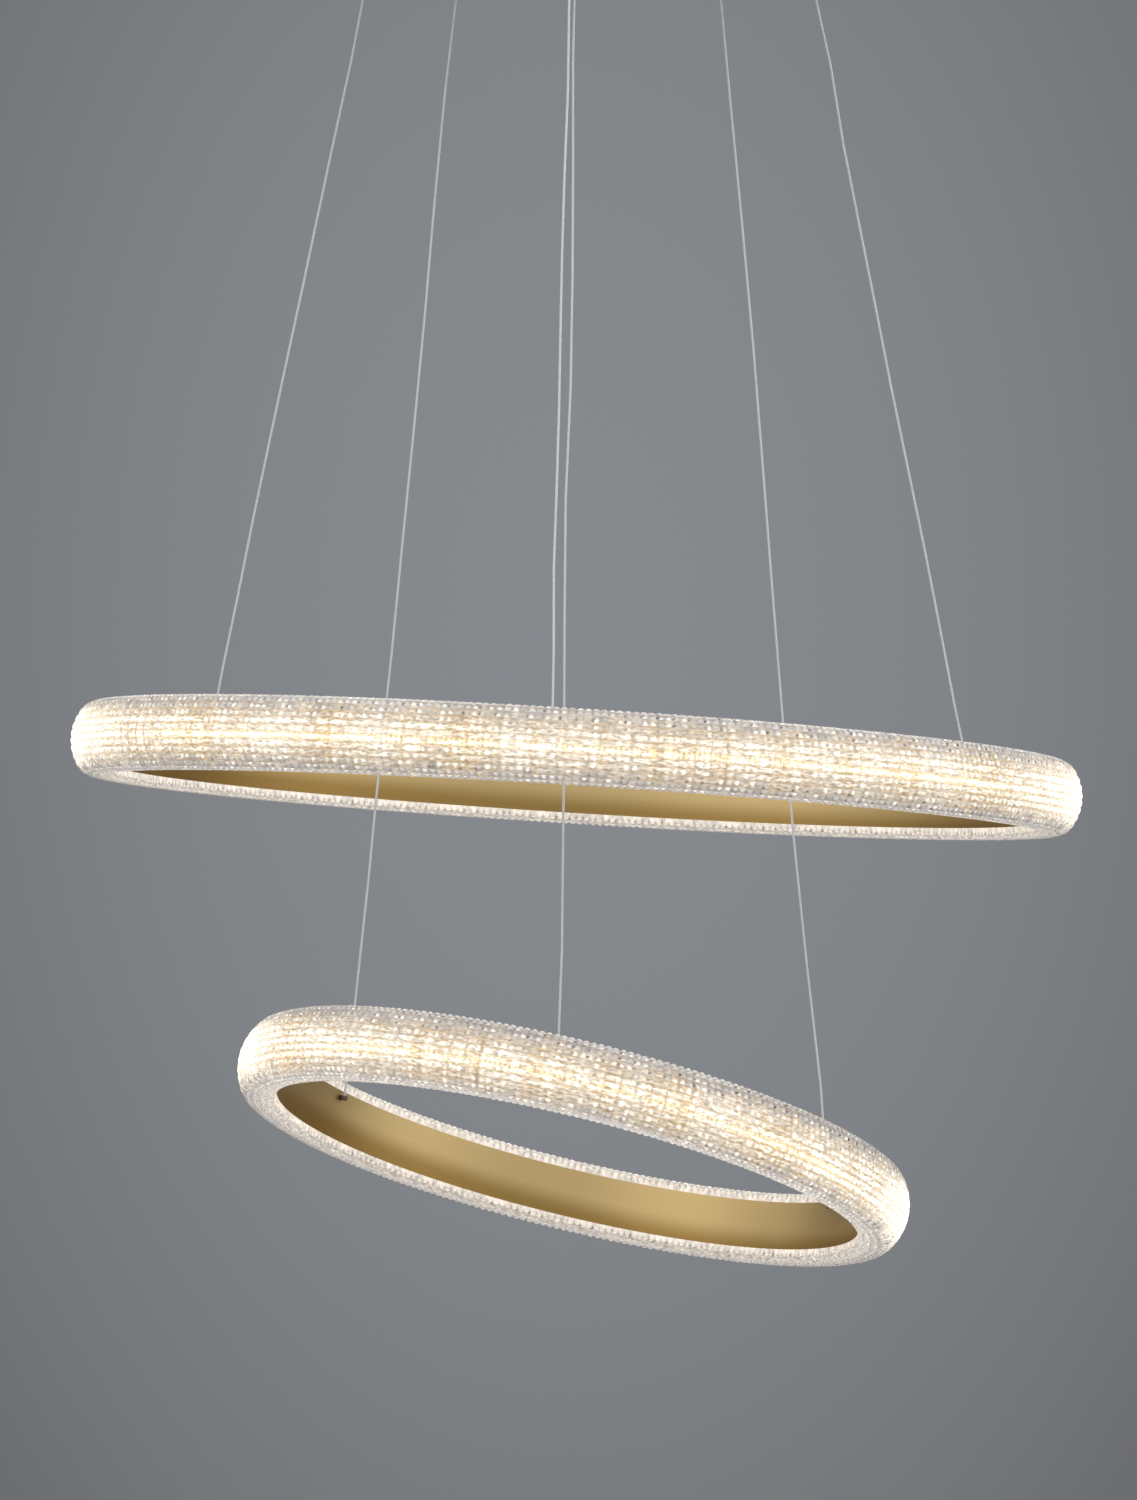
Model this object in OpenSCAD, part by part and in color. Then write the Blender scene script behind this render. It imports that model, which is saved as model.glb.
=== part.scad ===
// Two-ring pendant light: a ceiling canopy, six suspension cables and two lit rings.
// The origin is the middle of the ceiling face. +Z points up into the ceiling and -Y faces the viewer.

/* [Rings] */
// Outer diameter of the upper ring, over its beads
upper_ring_d = 600; // [520:5:680]
// Outer diameter of the lower ring, over its beads
lower_ring_d = 408; // [360:4:470]
// Height of a ring's section
section_h = 43; // [40:0.5:50]
// Depth of a ring's section, from the gold band to the beads
section_w = 26.8; // [24:0.2:32]
// Radius of the section's outer belly
belly_r = 30; // [27:0.5:40]
// Radius of the section's shoulders
shoulder_r = 10; // [8:0.5:12]
// Radius of the lip's corner beside the gold band
lip_corner_r = 3; // [1.5:0.25:4]

/* [Diffuser] */
// Number of bead rows across the section
bead_rows = 16; // [12:1:20]
// Depth of the grooves between bead rows
bead_depth = 1; // [0.6:0.1:1.4]
// Wall of the diffuser under its beads
diffuser_wall = 2.6; // [2:0.1:3.2]
// Wall of the lip that stands on the channel
lip_wall = 2.8; // [2:0.1:3.4]

/* [Channel] */
// Height of the gold band
band_h = 29.4; // [26:0.2:32]
// Wall of the channel
channel_wall = 1.6; // [1.2:0.1:2]
// Reach of the channel's flanges behind the band
flange_reach = 9; // [7:0.5:11]
// Height of the rib that holds the diffuser's lip
rib_h = 1.8; // [1:0.1:2]
// Thickness of the rib
rib_w = 1.2; // [0.8:0.1:1.6]

/* [Light] */
// Width of the light strip
strip_w = 10; // [8:0.5:12]
// Thickness of the light strip
strip_t = 0.4; // [0.3:0.1:0.8]
// Distance between light-emitting chips along the strip
chip_pitch = 8.33; // [6:0.01:18]
// Length and width of a chip
chip_size = [3.5, 2.8]; // [1:0.1:5]
// Height of a chip
chip_t = 0.8; // [0.5:0.1:1.2]
// Depth of a chip's solder seat in the strip
chip_seat = 0.1; // [0.05:0.05:0.2]

/* [Hanging] */
// Drop from the ceiling to the middle of the upper ring
upper_drop = 530; // [440:5:600]
// Drop from the ceiling to the middle of the lower ring
lower_drop = 749; // [700:5:900]
// Tilt of the upper ring about X
upper_tilt_x = -2.3; // [-5:0.1:5]
// Tilt of the upper ring about Y
upper_tilt_y = 3; // [-5:0.1:5]
// Tilt of the lower ring about X
lower_tilt_x = -13.1; // [-16:0.1:0]
// Tilt of the lower ring about Y
lower_tilt_y = 13.3; // [0:0.1:16]
// Turn of the upper ring's hangers about the plumb line
upper_turn = -3.2; // [-20:0.1:20]
// Turn of the lower ring's hangers about the plumb line
lower_turn = -6.9; // [-20:0.1:20]

/* [Cables] */
// Outer diameter of a suspension cable, over its clear sheath
cable_d = 1.4; // [1.2:0.1:1.6]
// Radius of the circle where the upper ring's cables leave the canopy
upper_exit_r = 157; // [140:1:180]
// Radius of the circle where the lower ring's cables leave the canopy
lower_exit_r = 94; // [85:1:105]

/* [Hangers] */
// Diameter of a hanger stud's barrel
stud_d = 3.4; // [3.2:0.1:5]
// Length of a hanger stud's barrel
stud_l = 3; // [2.8:0.1:5]
// Length of the neck between a stud's barrel and its bush
stud_neck = 0.9; // [0.5:0.1:2]
// Depth of a hanger stud below the top edge of the gold band
stud_below = 4.3; // [4:0.1:5]
// Diameter of a stud's neck and shank
shank_d = 2; // [1.6:0.1:2.2]
// Diameter of a stud's riveted head
rivet_d = 3.8; // [3:0.1:4]
// Thickness of a stud's riveted head
rivet_t = 0.8; // [0.6:0.1:1.2]
// Play between a cable and the hole in its stud
cable_play = 0.4; // [0.4:0.05:0.6]
// Diameter of an insulating bush's sleeve
bush_d = 3.2; // [2.8:0.1:3.4]
// Height of a bush's sleeve in front of the gold band
bush_stand = 0.4; // [0.3:0.1:1]
// Thickness of a bush's flange behind the band
bush_flange_t = 0.7; // [0.5:0.1:1]
// Diameter of the wires between the studs and the light strip
feed_wire_d = 0.8; // [0.5:0.1:1]

/* [Canopy] */
// Height of the canopy below the ceiling
canopy_h = 40; // [36:1:60]
// Distance from the outer circle of cables to the canopy's edge
canopy_margin = 23; // [20:1:40]
// Wall of the canopy
canopy_wall = 1.2; // [1:0.1:2]
// Radius of the canopy's lower edge
canopy_edge_r = 8; // [4:0.5:12]
// Gap between the canopy's rim and the ceiling
rim_gap = 0.5; // [0.3:0.1:2]

/* [Ceiling bracket] */
// Thickness of the bracket's sheet
bracket_t = 2; // [1.5:0.1:3]
// Width of the bracket's four arms
arm_w = 30; // [24:1:40]
// Length of the tab folded down at an arm's end
tab_l = 18; // [14:1:24]
// Diameter of the bracket's middle disc
hub_d = 96; // [80:2:140]
// Diameter of the circle of ceiling screw holes
ceiling_pcd = 120; // [100:5:160]
// Diameter of a ceiling screw hole
ceiling_hole_d = 5.5; // [4.5:0.5:7]
// Diameter of the hole in the middle for the mains cable
inlet_d = 9; // [7:0.5:12]
// Wall of the grommet in the mains hole
grommet_wall = 2; // [1.5:0.1:3]
// Diameter of a canopy screw
side_screw_d = 4; // [3:0.5:5]
// Length of a canopy screw inside its tab
side_screw_in = 4; // [3:0.5:8]
// Diameter of a canopy screw's head
side_head_d = 9; // [7:0.5:12]
// Thickness of a canopy screw's head
side_head_t = 3; // [2:0.1:4]

/* [Cable grips] */
// Diameter of a grip's threaded neck
neck_d = 10; // [9:0.5:12]
// Length of a grip's threaded neck above the canopy's underside
neck_l = 14; // [12:0.5:18]
// Diameter of a grip's collar
collar_d = 16; // [14:0.5:20]
// Thickness of a grip's collar
collar_t = 3; // [2:0.5:4]
// Diameter of a grip's barrel
barrel_d = 12; // [11:0.5:14]
// Length of a grip's barrel below its collar
barrel_l = 8; // [7:0.5:12]
// Lip that holds the plunger in the barrel
barrel_lip = 1; // [0.8:0.1:1.5]
// Diameter of the release plunger's nose
nose_d = 6; // [5.5:0.1:7]
// Length of the nose below the barrel
nose_l = 6; // [5:0.5:8]
// Diameter of the release plunger's flange
plunger_flange_d = 8.2; // [7.6:0.1:9]
// Thickness of the release plunger's flange
plunger_flange_t = 1.6; // [1:0.1:2]
// Diameter of the flared mouth of the plunger's bore
mouth_d = 5; // [4.4:0.1:5.2]
// Depth of the flared mouth of the plunger's bore
mouth_l = 3; // [2.5:0.1:4]
// Width across the flats of a grip's lock nut
lock_nut_w = 14; // [13:0.5:17]
// Thickness of a grip's lock nut
lock_nut_t = 4; // [3:0.5:6]

/* [Power] */
// Length of the driver's case
driver_l = 150; // [110:2:170]
// Width of the driver's case
driver_w = 40; // [30:1:50]
// Height of the driver's case
driver_h = 22; // [18:1:28]
// Distance from the canopy's middle to the driver's middle
driver_y = 96; // [90:1:110]
// Length of the cap at each end of the driver
driver_cap_l = 16; // [14:1:24]
// Wall of a driver cap
driver_cap_wall = 3; // [2:0.5:4]
// Length of the ear at each end of the driver
ear_l = 12; // [10:0.5:16]
// Width of an ear
ear_w = 24; // [16:1:28]
// Thickness of an ear
ear_t = 3; // [2:0.5:4]
// Diameter of a weld stud on the canopy's floor
weld_stud_d = 4; // [3:0.5:5]
// Height of a weld stud on the canopy's floor
weld_stud_h = 9; // [8:0.5:14]
// Width across the flats of a nut on a weld stud
nut_w = 7; // [6:0.5:8]
// Thickness of a nut on a weld stud
nut_t = 3.2; // [2.4:0.1:3.6]
// Distance between the entries of a terminal block
pole_pitch = 8; // [7:0.5:10]
// Height of a terminal block
block_h = 15; // [12:0.5:20]
// Width of a terminal block
block_w = 16; // [12:0.5:20]
// Depth of a terminal block's entries
entry_l = 6; // [5:0.5:8]
// Distance from the canopy's middle to the cable block's middle
cable_block_y = -28; // [-40:1:-22]
// Place of the mains block on the canopy's floor
mains_block_at = [-46, 22]; // [-60:1:60]
// Place of the earth stud on the canopy's floor
earth_at = [46, 22]; // [-60:1:60]
// Diameter of the leads inside the canopy
lead_d = 1.8; // [1.4:0.1:2.2]

/* [Hidden] */

// A ring is named by its place in these lists, and a cable by its place round the ring.
UPPER = 0;
LOWER = 1;
FRONT = 0;
RIGHT = 1;
LEFT = 2;
CABLES = [FRONT, RIGHT, LEFT];
cable_angle = [-90, 30, 150];
ring_r = [upper_ring_d / 2, lower_ring_d / 2];
drop = [upper_drop, lower_drop];
tilt_x = [upper_tilt_x, lower_tilt_x];
tilt_y = [upper_tilt_y, lower_tilt_y];
turn = [upper_turn, lower_turn];
exit_r = [upper_exit_r, lower_exit_r];

// Clearances, and the height of a turned or moulded edge's chamfer
fit = 0.05;
seat_gap = 0.1;
lip_gap = 0.15;
body_gap = 0.3;
thread_gap = 0.1;
fine_edge = 0.3;
edge = 0.6;

// Levels of the canopy and the grips, measured from the ceiling
floor_z = -canopy_h + canopy_wall;
under_z = -canopy_h;
collar_z = under_z - collar_t;
barrel_z = collar_z - barrel_l;
nose_z = barrel_z - nose_l;
exit_z = nose_z + mouth_l;
neck_z = under_z + neck_l;
canopy_r = upper_exit_r + canopy_margin;
screw_z = -tab_l / 2 - bracket_t;
tab_x = sqrt(pow(canopy_r - canopy_wall - body_gap, 2) - pow(arm_w / 2, 2));

// Sizes of the ring's section, measured outwards from its outermost bead
half_h = section_h / 2;
band_u = -section_w;
web_u = band_u + channel_wall;
strip_u = web_u + seat_gap + strip_t;
shoulder_z = half_h - shoulder_r;
belly_angle = asin(shoulder_z / (belly_r - shoulder_r));
shoulder_u = -belly_r + (belly_r - shoulder_r) * cos(belly_angle);
flat_u = band_u + lip_corner_r;
flat_l = shoulder_u - flat_u;
shoulder_l = shoulder_r * (90 - belly_angle) * PI / 180;
belly_l = 2 * belly_r * belly_angle * PI / 180;
rim_l = 2 * flat_l + 2 * shoulder_l + belly_l;
inset = bead_depth + diffuser_wall;
lip_z = band_h / 2 + lip_gap;

// Where the lip's rounded corner meets the first bead, and where the wall's inside turns from shoulder to belly
corner_end = 100;
wall_blend = 0.66;

// Sizes of the hangers
stud_z = band_h / 2 - stud_below;
bush_flange_r = stud_below - channel_wall - seat_gap;
neck_u = band_u - bush_stand - stud_neck;
cable_u = neck_u - stud_l / 2;
stud_hole_d = cable_d + 2 * cable_play;
feed_bow = 0.4;

// Metal of a stud over its cable's end, a cable's reach into its plunger, and the gap from there to its tail
end_cover = 0.2;
cable_start = 0.6;
cable_end = stud_d / 2 - end_cover;
tail_gap = 1;

// Sideways wander of each cable, at equal steps from the canopy to the hanger, whose last stretch is straight
cable_straight_from = 0.985;
upper_wander = [
    [0, 0.2, 0.6, -0.2, -0.6, -0.5, -0.3, -0.6, -1.2, -0.2, 0],
    [0, 1.2, -0.6, -0.6, -0.6, -0.8, -0.4, 0, -0.2, -0.6, 0],
    [0, 0.8, 0.3, 0, -0.2, -0.6, -0.9, -1, -0.6, -0.6, 0]
];
lower_wander = [
    [0, -0.6, 0.4, 1.1, 1, -0.8, -0.4, 0.4, 0.8, 1.2, 0],
    [0, 0.2, 0.7, 0.8, 0, -0.9, -1.6, -1.4, -0.4, 1.4, 0],
    [0, -1.2, -0.8, 0.3, 0.7, 0.8, 1.1, 0.6, 1, 0.6, 0]
];
wander = [upper_wander, lower_wander];

// Vector helpers
function unit(v) = v / norm(v);
function arc(c, r, a0, a1, n) = [
    for (i = [0:n])
        let (a = a0 + (a1 - a0) * i / n)
        c + r * [cos(a), sin(a)]
];
function reversed(list) = [for (i = [len(list) - 1:-1:0]) list[i]];
function flipped(list) = [for (p = reversed(list)) [p.x, -p.y]];
function bezier(a, b, c, d, n) = [
    for (i = [0:n])
        let (t = i / n, s = 1 - t)
        s * s * s * a + 3 * s * s * t * b + 3 * s * t * t * c + t * t * t * d
];

// A vector of ring k, turned from the ring's own frame into the room's
function turned(v, k) =
    let (
        y = v.y * cos(tilt_x[k]) - v.z * sin(tilt_x[k]),
        z = v.y * sin(tilt_x[k]) + v.z * cos(tilt_x[k])
    )
    [v.x * cos(tilt_y[k]) + z * sin(tilt_y[k]), y, z * cos(tilt_y[k]) - v.x * sin(tilt_y[k])];
function in_room(v, k) = turned(v, k) + [0, 0, -drop[k]];

// Hanger i of ring k: its direction from the ring's middle, and the point where its cable crosses the stud
function hanger_angle(k, i) = cable_angle[i] + turn[k];
function outward(k, i) = turned([cos(hanger_angle(k, i)), sin(hanger_angle(k, i)), 0], k);
function on_band(u, z, k, i) =
    let (r = ring_r[k] + u, a = hanger_angle(k, i))
    in_room([r * cos(a), r * sin(a), z], k);
function hanger(k, i) = on_band(cable_u, stud_z, k, i);

// The three cables of a ring point at one spot on the plumb line, so the ring hangs with its middle below it
function mean_hanger_z(k) = (hanger(k, FRONT).z + hanger(k, RIGHT).z + hanger(k, LEFT).z) / 3;
function meeting_z(k) = exit_z + (exit_z - mean_hanger_z(k)) * exit_r[k] / (ring_r[k] + cable_u - exit_r[k]);
function meeting(k) = [0, 0, meeting_z(k)];
function exit_point(k, i) =
    let (p = meeting(k), h = hanger(k, i))
    p + (h - p) * (p.z - exit_z) / (p.z - h.z);
function cable_way(k, i) = unit(hanger(k, i) - exit_point(k, i));
function cable_path(k, i) =
    let (
        a = exit_point(k, i) - cable_start * cable_way(k, i),
        b = hanger(k, i) + cable_end * cable_way(k, i),
        w = wander[k][i],
        n = len(w) - 1
    )
    concat(
        [for (j = [0:n - 1]) a + (b - a) * j / n + [w[j], 0, 0]],
        [a + (b - a) * cable_straight_from, b]
    );

// The bead line: a point at distance s along the section's outer edge, and the direction square to it
function rim_half(s) =
    s < flat_l ? [flat_u + s, half_h, 0, 1] :
    s < flat_l + shoulder_l ?
        let (a = 90 - (s - flat_l) / shoulder_r * 180 / PI)
        [shoulder_u + shoulder_r * cos(a), shoulder_z + shoulder_r * sin(a), cos(a), sin(a)] :
        let (a = belly_angle - (s - flat_l - shoulder_l) / belly_r * 180 / PI)
        [-belly_r + belly_r * cos(a), belly_r * sin(a), cos(a), sin(a)];
function rim(s) =
    s <= rim_l / 2 ? rim_half(s) :
        let (p = rim_half(rim_l - s))
        [p[0], -p[1], p[2], -p[3]];
function bead_line() = [
    for (i = [0:2 * bead_rows])
        let (p = rim(i * rim_l / (2 * bead_rows)), d = i % 2 == 0 ? bead_depth : 0)
        [p[0] - d * p[2], p[1] - d * p[3]]
];

// Tubes along a path, with rings of eight points
tube_sides = 8;
function heading(path, i) = unit(path[min(i + 1, len(path) - 1)] - path[max(i - 1, 0)]);
function tube_ring(p, way, side, r) =
    let (b = unit(side - (side * way) * way), n = cross(way, b))
    [for (j = [0:tube_sides - 1]) p + r * (cos(j * 360 / tube_sides) * b + sin(j * 360 / tube_sides) * n)];

module tube(path, d, side) {
    n = len(path);
    m = tube_sides;
    points = [for (i = [0:n - 1]) each tube_ring(path[i], heading(path, i), side, d / 2)];
    walls = [
        for (i = [0:n - 2], j = [0:m - 1], half = [0, 1])
            let (a = i * m + j, b = i * m + (j + 1) % m)
            half == 0 ? [a, a + m, b] : [b, a + m, b + m]
    ];
    start = [for (j = [0:m - 1]) j];
    finish = [for (j = [m - 1:-1:0]) (n - 1) * m + j];
    polyhedron(points, concat([start], walls, [finish]));
}

// Children drawn along +Z are laid from point p towards way
module laid_along(p, way) {
    translate(p)
        rotate([0, acos(way.z / norm(way)), atan2(way.y, way.x)])
            children();
}

module in_ring(k) {
    translate([0, 0, -drop[k]])
        rotate([tilt_x[k], tilt_y[k], 0])
            children();
}

module revolved(k, points) {
    in_ring(k)
        rotate_extrude($fn = 180)
            translate([ring_r[k], 0])
                polygon(points);
}

// Rings

module channel(k) {
    top = band_h / 2;
    inner = top - channel_wall;
    rib_u = band_u + lip_wall + lip_gap;
    reach_u = band_u + flange_reach;
    quarter = [
        [band_u, top],
        [rib_u, top],
        [rib_u, top + rib_h],
        [rib_u + rib_w, top + rib_h],
        [rib_u + rib_w, top],
        [reach_u, top],
        [reach_u, inner],
        [web_u, inner]
    ];
    color("#b8945a")
        difference() {
            revolved(k, concat(quarter, flipped(quarter)));
            for (i = CABLES)
                laid_along(on_band(band_u - channel_wall, stud_z, k, i), outward(k, i))
                    cylinder(d = bush_d + 2 * fit, h = 3 * channel_wall, $fn = 48);
        }
}

module diffuser(k) {
    lip_u = band_u + lip_wall;
    corner_z = half_h - bead_depth - lip_corner_r;
    top_z = half_h - inset;
    inner_r = shoulder_r - inset;
    outer_lip = concat(
        [[band_u, lip_z]],
        arc([flat_u, corner_z], lip_corner_r, 180, corner_end, 4)
    );
    inner_half = concat(
        [[lip_u, lip_z], [lip_u, top_z]],
        arc([shoulder_u, shoulder_z], inner_r, 90, belly_angle, 5),
        arc([-belly_r, 0], belly_r - inset, belly_angle * wall_blend, 0, 2)
    );
    inner_rest = [for (i = [0:len(inner_half) - 2]) inner_half[i]];
    inside = concat(reversed(flipped(inner_rest)), reversed(inner_half));
    color([0.93, 0.92, 0.9, 0.6])
        revolved(k, concat(outer_lip, bead_line(), flipped(outer_lip), inside));
}

// A closed line of n straight sides that all lie at the distance r from the middle
function lands(r, n) = [
    for (i = [0:n - 1])
        let (a = 360 * (i + 0.5) / n)
        r / cos(180 / n) * [cos(a), sin(a)]
];

// The strip bends only between its chips, so it lies in flat lands with a chip on each
module light_strip(k) {
    strip_r = ring_r[k] + strip_u;
    chips = round(2 * PI * strip_r / chip_pitch);
    color("#f4ead2")
        in_ring(k) {
            translate([0, 0, -strip_w / 2])
                linear_extrude(strip_w)
                    difference() {
                        polygon(lands(strip_r, chips));
                        polygon(lands(strip_r - strip_t, chips));
                    }
            for (i = [0:chips - 1])
                rotate([0, 0, 360 * i / chips])
                    translate([strip_r + chip_t / 2 - chip_seat, 0, 0])
                        cube([chip_t, chip_size.y, chip_size.x], center = true);
        }
}

// A bush keeps the live stud clear of the channel: its flange is behind the band and its sleeve goes through
module bushes(k) {
    sleeve_l = bush_stand + channel_wall;
    color("#2b2724")
        for (i = CABLES)
            laid_along(on_band(band_u - bush_stand, stud_z, k, i), outward(k, i))
                rotate_extrude($fn = 48)
                    polygon([
                        [shank_d / 2 + fit, 0],
                        [bush_d / 2, 0],
                        [bush_d / 2, sleeve_l + seat_gap],
                        [bush_flange_r, sleeve_l + seat_gap],
                        [bush_flange_r, sleeve_l + seat_gap + bush_flange_t],
                        [shank_d / 2 + fit, sleeve_l + seat_gap + bush_flange_t]
                    ]);
}

// A stud is a barrel with a cross hole for the cable, and a shank that is riveted over behind its bush
module studs(k) {
    r = stud_d / 2;
    shank_end = stud_l + stud_neck + bush_stand + channel_wall + seat_gap + bush_flange_t + fit;
    color("#6b5240")
        for (i = CABLES)
            difference() {
                laid_along(on_band(neck_u - stud_l, stud_z, k, i), outward(k, i))
                    rotate_extrude($fn = 48)
                        polygon([
                            [0, 0],
                            [r - fine_edge, 0],
                            [r, fine_edge],
                            [r, stud_l - fine_edge],
                            [r - fine_edge, stud_l],
                            [shank_d / 2, stud_l],
                            [shank_d / 2, shank_end],
                            [rivet_d / 2, shank_end],
                            [rivet_d / 2 - fine_edge, shank_end + rivet_t],
                            [0, shank_end + rivet_t]
                        ]);
                laid_along(hanger(k, i) - stud_d * cable_way(k, i), cable_way(k, i))
                    cylinder(d = stud_hole_d, h = 2 * stud_d, $fn = 48);
            }
}

// Two short wires join the live studs to the edge of the light strip
module feed_wires(k) {
    rivet_u = web_u + seat_gap + bush_flange_t + fit + rivet_t;
    start_u = rivet_u + seat_gap + feed_wire_d / 2;
    strip_edge = strip_w / 2 + feed_wire_d;
    color("#c8b28a")
        for (i = [RIGHT, LEFT]) {
            path = [
                on_band(start_u, stud_z, k, i),
                on_band(start_u + feed_bow, (2 * stud_z + strip_edge) / 3, k, i),
                on_band(start_u, (stud_z + 2 * strip_edge) / 3, k, i),
                on_band(strip_u + feed_wire_d / 2, strip_edge, k, i)
            ];
            tube(path, feed_wire_d, cross(outward(k, i), turned([0, 0, 1], k)));
        }
}

// Cables

module cable(k, i) {
    color([0.85, 0.86, 0.87])
        tube(cable_path(k, i), cable_d, [0, 1, 0]);
}

// Cable grips

module at_exit(k, i) {
    p = exit_point(k, i);
    translate([p.x, p.y, 0])
        children();
}

// A grip is screwed up through the canopy's underside, and its barrel holds the release plunger
module grip(k, i) {
    bore = cable_d / 2 + cable_play;
    nose_bore = nose_d / 2 + fit;
    chamber = plunger_flange_d / 2 + fit;
    color("#c9a86a")
        at_exit(k, i)
            rotate_extrude($fn = 64)
                polygon([
                    [bore, neck_z],
                    [neck_d / 2 - edge, neck_z],
                    [neck_d / 2, neck_z - edge],
                    [neck_d / 2, under_z],
                    [collar_d / 2, under_z],
                    [collar_d / 2, collar_z + edge],
                    [collar_d / 2 - edge, collar_z],
                    [barrel_d / 2, collar_z],
                    [barrel_d / 2, barrel_z + edge],
                    [barrel_d / 2 - edge, barrel_z],
                    [nose_bore, barrel_z],
                    [nose_bore, barrel_z + barrel_lip],
                    [chamber, barrel_z + barrel_lip],
                    [chamber, collar_z],
                    [bore, collar_z]
                ]);
}

module plunger(k, i) {
    bore = cable_d / 2 + cable_play;
    flange_z = barrel_z + barrel_lip + seat_gap;
    color("#e0c88e")
        at_exit(k, i)
            rotate_extrude($fn = 64)
                polygon([
                    [mouth_d / 2, nose_z],
                    [nose_d / 2 - fine_edge, nose_z],
                    [nose_d / 2, nose_z + fine_edge],
                    [nose_d / 2, flange_z],
                    [plunger_flange_d / 2, flange_z],
                    [plunger_flange_d / 2, flange_z + plunger_flange_t],
                    [bore, flange_z + plunger_flange_t],
                    [bore, exit_z]
                ]);
}

module hex_nut(w, t, bore) {
    difference() {
        cylinder(d = w / cos(30), h = t, $fn = 6);
        translate([0, 0, -1])
            cylinder(d = bore, h = t + 2, $fn = 64);
    }
}

module grip_lock_nuts() {
    color("#c9a86a")
        for (k = [UPPER, LOWER], i = CABLES)
            at_exit(k, i)
                translate([0, 0, floor_z])
                    hex_nut(lock_nut_w, lock_nut_t, neck_d + 2 * fit);
}

// Canopy

module at_arms() {
    for (a = [45:90:315])
        rotate([0, 0, a])
            children();
}

module ceiling_bracket() {
    color("#b9bcc0")
        difference() {
            union() {
                translate([0, 0, -bracket_t])
                    cylinder(d = hub_d, h = bracket_t, $fn = 96);
                at_arms() {
                    translate([0, -arm_w / 2, -bracket_t])
                        cube([tab_x, arm_w, bracket_t]);
                    translate([tab_x - bracket_t, -arm_w / 2, -tab_l])
                        cube([bracket_t, arm_w, tab_l]);
                }
            }
            at_arms() {
                translate([ceiling_pcd / 2, 0, -2 * bracket_t])
                    cylinder(d = ceiling_hole_d, h = 3 * bracket_t, $fn = 48);
                translate([tab_x - 2 * bracket_t, 0, screw_z])
                    rotate([0, 90, 0])
                        cylinder(d = side_screw_d + thread_gap, h = 3 * bracket_t, $fn = 48);
            }
            translate([0, 0, -2 * bracket_t])
                cylinder(d = inlet_d + 2 * grommet_wall, h = 3 * bracket_t, $fn = 64);
        }
}

module inlet_grommet() {
    inner = inlet_d / 2;
    neck = inner + grommet_wall - fit;
    flange = inner + 2 * grommet_wall;
    color("#3a3835")
        rotate_extrude($fn = 64)
            polygon([
                [inner, 0],
                [neck, 0],
                [neck, -bracket_t - seat_gap],
                [flange, -bracket_t - seat_gap],
                [flange - edge, -bracket_t - grommet_wall],
                [inner, -bracket_t - grommet_wall]
            ]);
}

module canopy_pan() {
    e = canopy_edge_r;
    inner_e = canopy_edge_r - canopy_wall;
    corner = [canopy_r - e, under_z + e];
    profile = concat(
        [[canopy_r - canopy_wall, -rim_gap], [canopy_r, -rim_gap]],
        arc(corner, e, 0, -90, 6),
        [[0, under_z], [0, floor_z]],
        arc(corner, inner_e, -90, 0, 6)
    );
    color("#b8945a") {
        difference() {
            rotate_extrude($fn = 180)
                polygon(profile);
            for (k = [UPPER, LOWER], i = CABLES)
                at_exit(k, i)
                    translate([0, 0, under_z - 1])
                        cylinder(d = neck_d + 2 * fit, h = canopy_wall + 2, $fn = 64);
            at_arms()
                translate([canopy_r - 2 * canopy_wall, 0, screw_z])
                    rotate([0, 90, 0])
                        cylinder(d = side_screw_d + 2 * thread_gap, h = 3 * canopy_wall, $fn = 48);
        }
        at_weld_studs()
            cylinder(d = weld_stud_d, h = weld_stud_h, $fn = 48);
    }
}

module canopy_screws() {
    shank_x = tab_x - side_screw_in;
    color("#c9a86a")
        at_arms()
            translate([0, 0, screw_z])
                rotate([0, 90, 0]) {
                    translate([0, 0, shank_x])
                        cylinder(d = side_screw_d, h = canopy_r - shank_x, $fn = 48);
                    translate([0, 0, canopy_r])
                        cylinder(d = side_head_d, h = side_head_t - edge, $fn = 48);
                    translate([0, 0, canopy_r + side_head_t - edge])
                        cylinder(d1 = side_head_d, d2 = side_head_d - 2 * edge, h = edge, $fn = 48);
                }
}

// Power supply inside the canopy

ear_x = driver_l / 2 + ear_l / 2;
weld_stud_at = [[-ear_x, driver_y], [ear_x, driver_y], earth_at];

module at_weld_studs() {
    for (p = weld_stud_at)
        translate([p.x, p.y, floor_z])
            children();
}

// Corners of the driver's ears, its caps and the terminal blocks
ear_r = 4;
cap_r = 2;
block_r = 1.5;

module rounded_box(size, r) {
    translate([-size.x / 2, -size.y / 2, 0])
        linear_extrude(size.z) {
            translate([r, 0])
                square([size.x - 2 * r, size.y]);
            translate([0, r])
                square([size.x, size.y - 2 * r]);
            for (x = [r, size.x - r], y = [r, size.y - r])
                translate([x, y])
                    circle(r = r, $fn = 32);
        }
}

// The case is narrower under its two end caps, by a cap's wall
module driver_core(grow) {
    size = [driver_l, driver_w] - 2 * (driver_cap_wall - grow) * [1, 1];
    translate([-size.x / 2, -size.y / 2, 0])
        cube([size.x, size.y, driver_h - driver_cap_wall + grow]);
}

module driver_case() {
    middle_l = driver_l - 2 * driver_cap_l;
    color("#e9e7e2")
        translate([0, driver_y, floor_z])
            difference() {
                union() {
                    translate([-middle_l / 2, -driver_w / 2, 0])
                        cube([middle_l, driver_w, driver_h]);
                    rounded_box([driver_l + 2 * ear_l, ear_w, ear_t], ear_r);
                    driver_core(0);
                }
                for (x = [-ear_x, ear_x])
                    translate([x, 0, -1])
                        cylinder(d = weld_stud_d + 2 * thread_gap, h = ear_t + 2, $fn = 48);
            }
}

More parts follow.
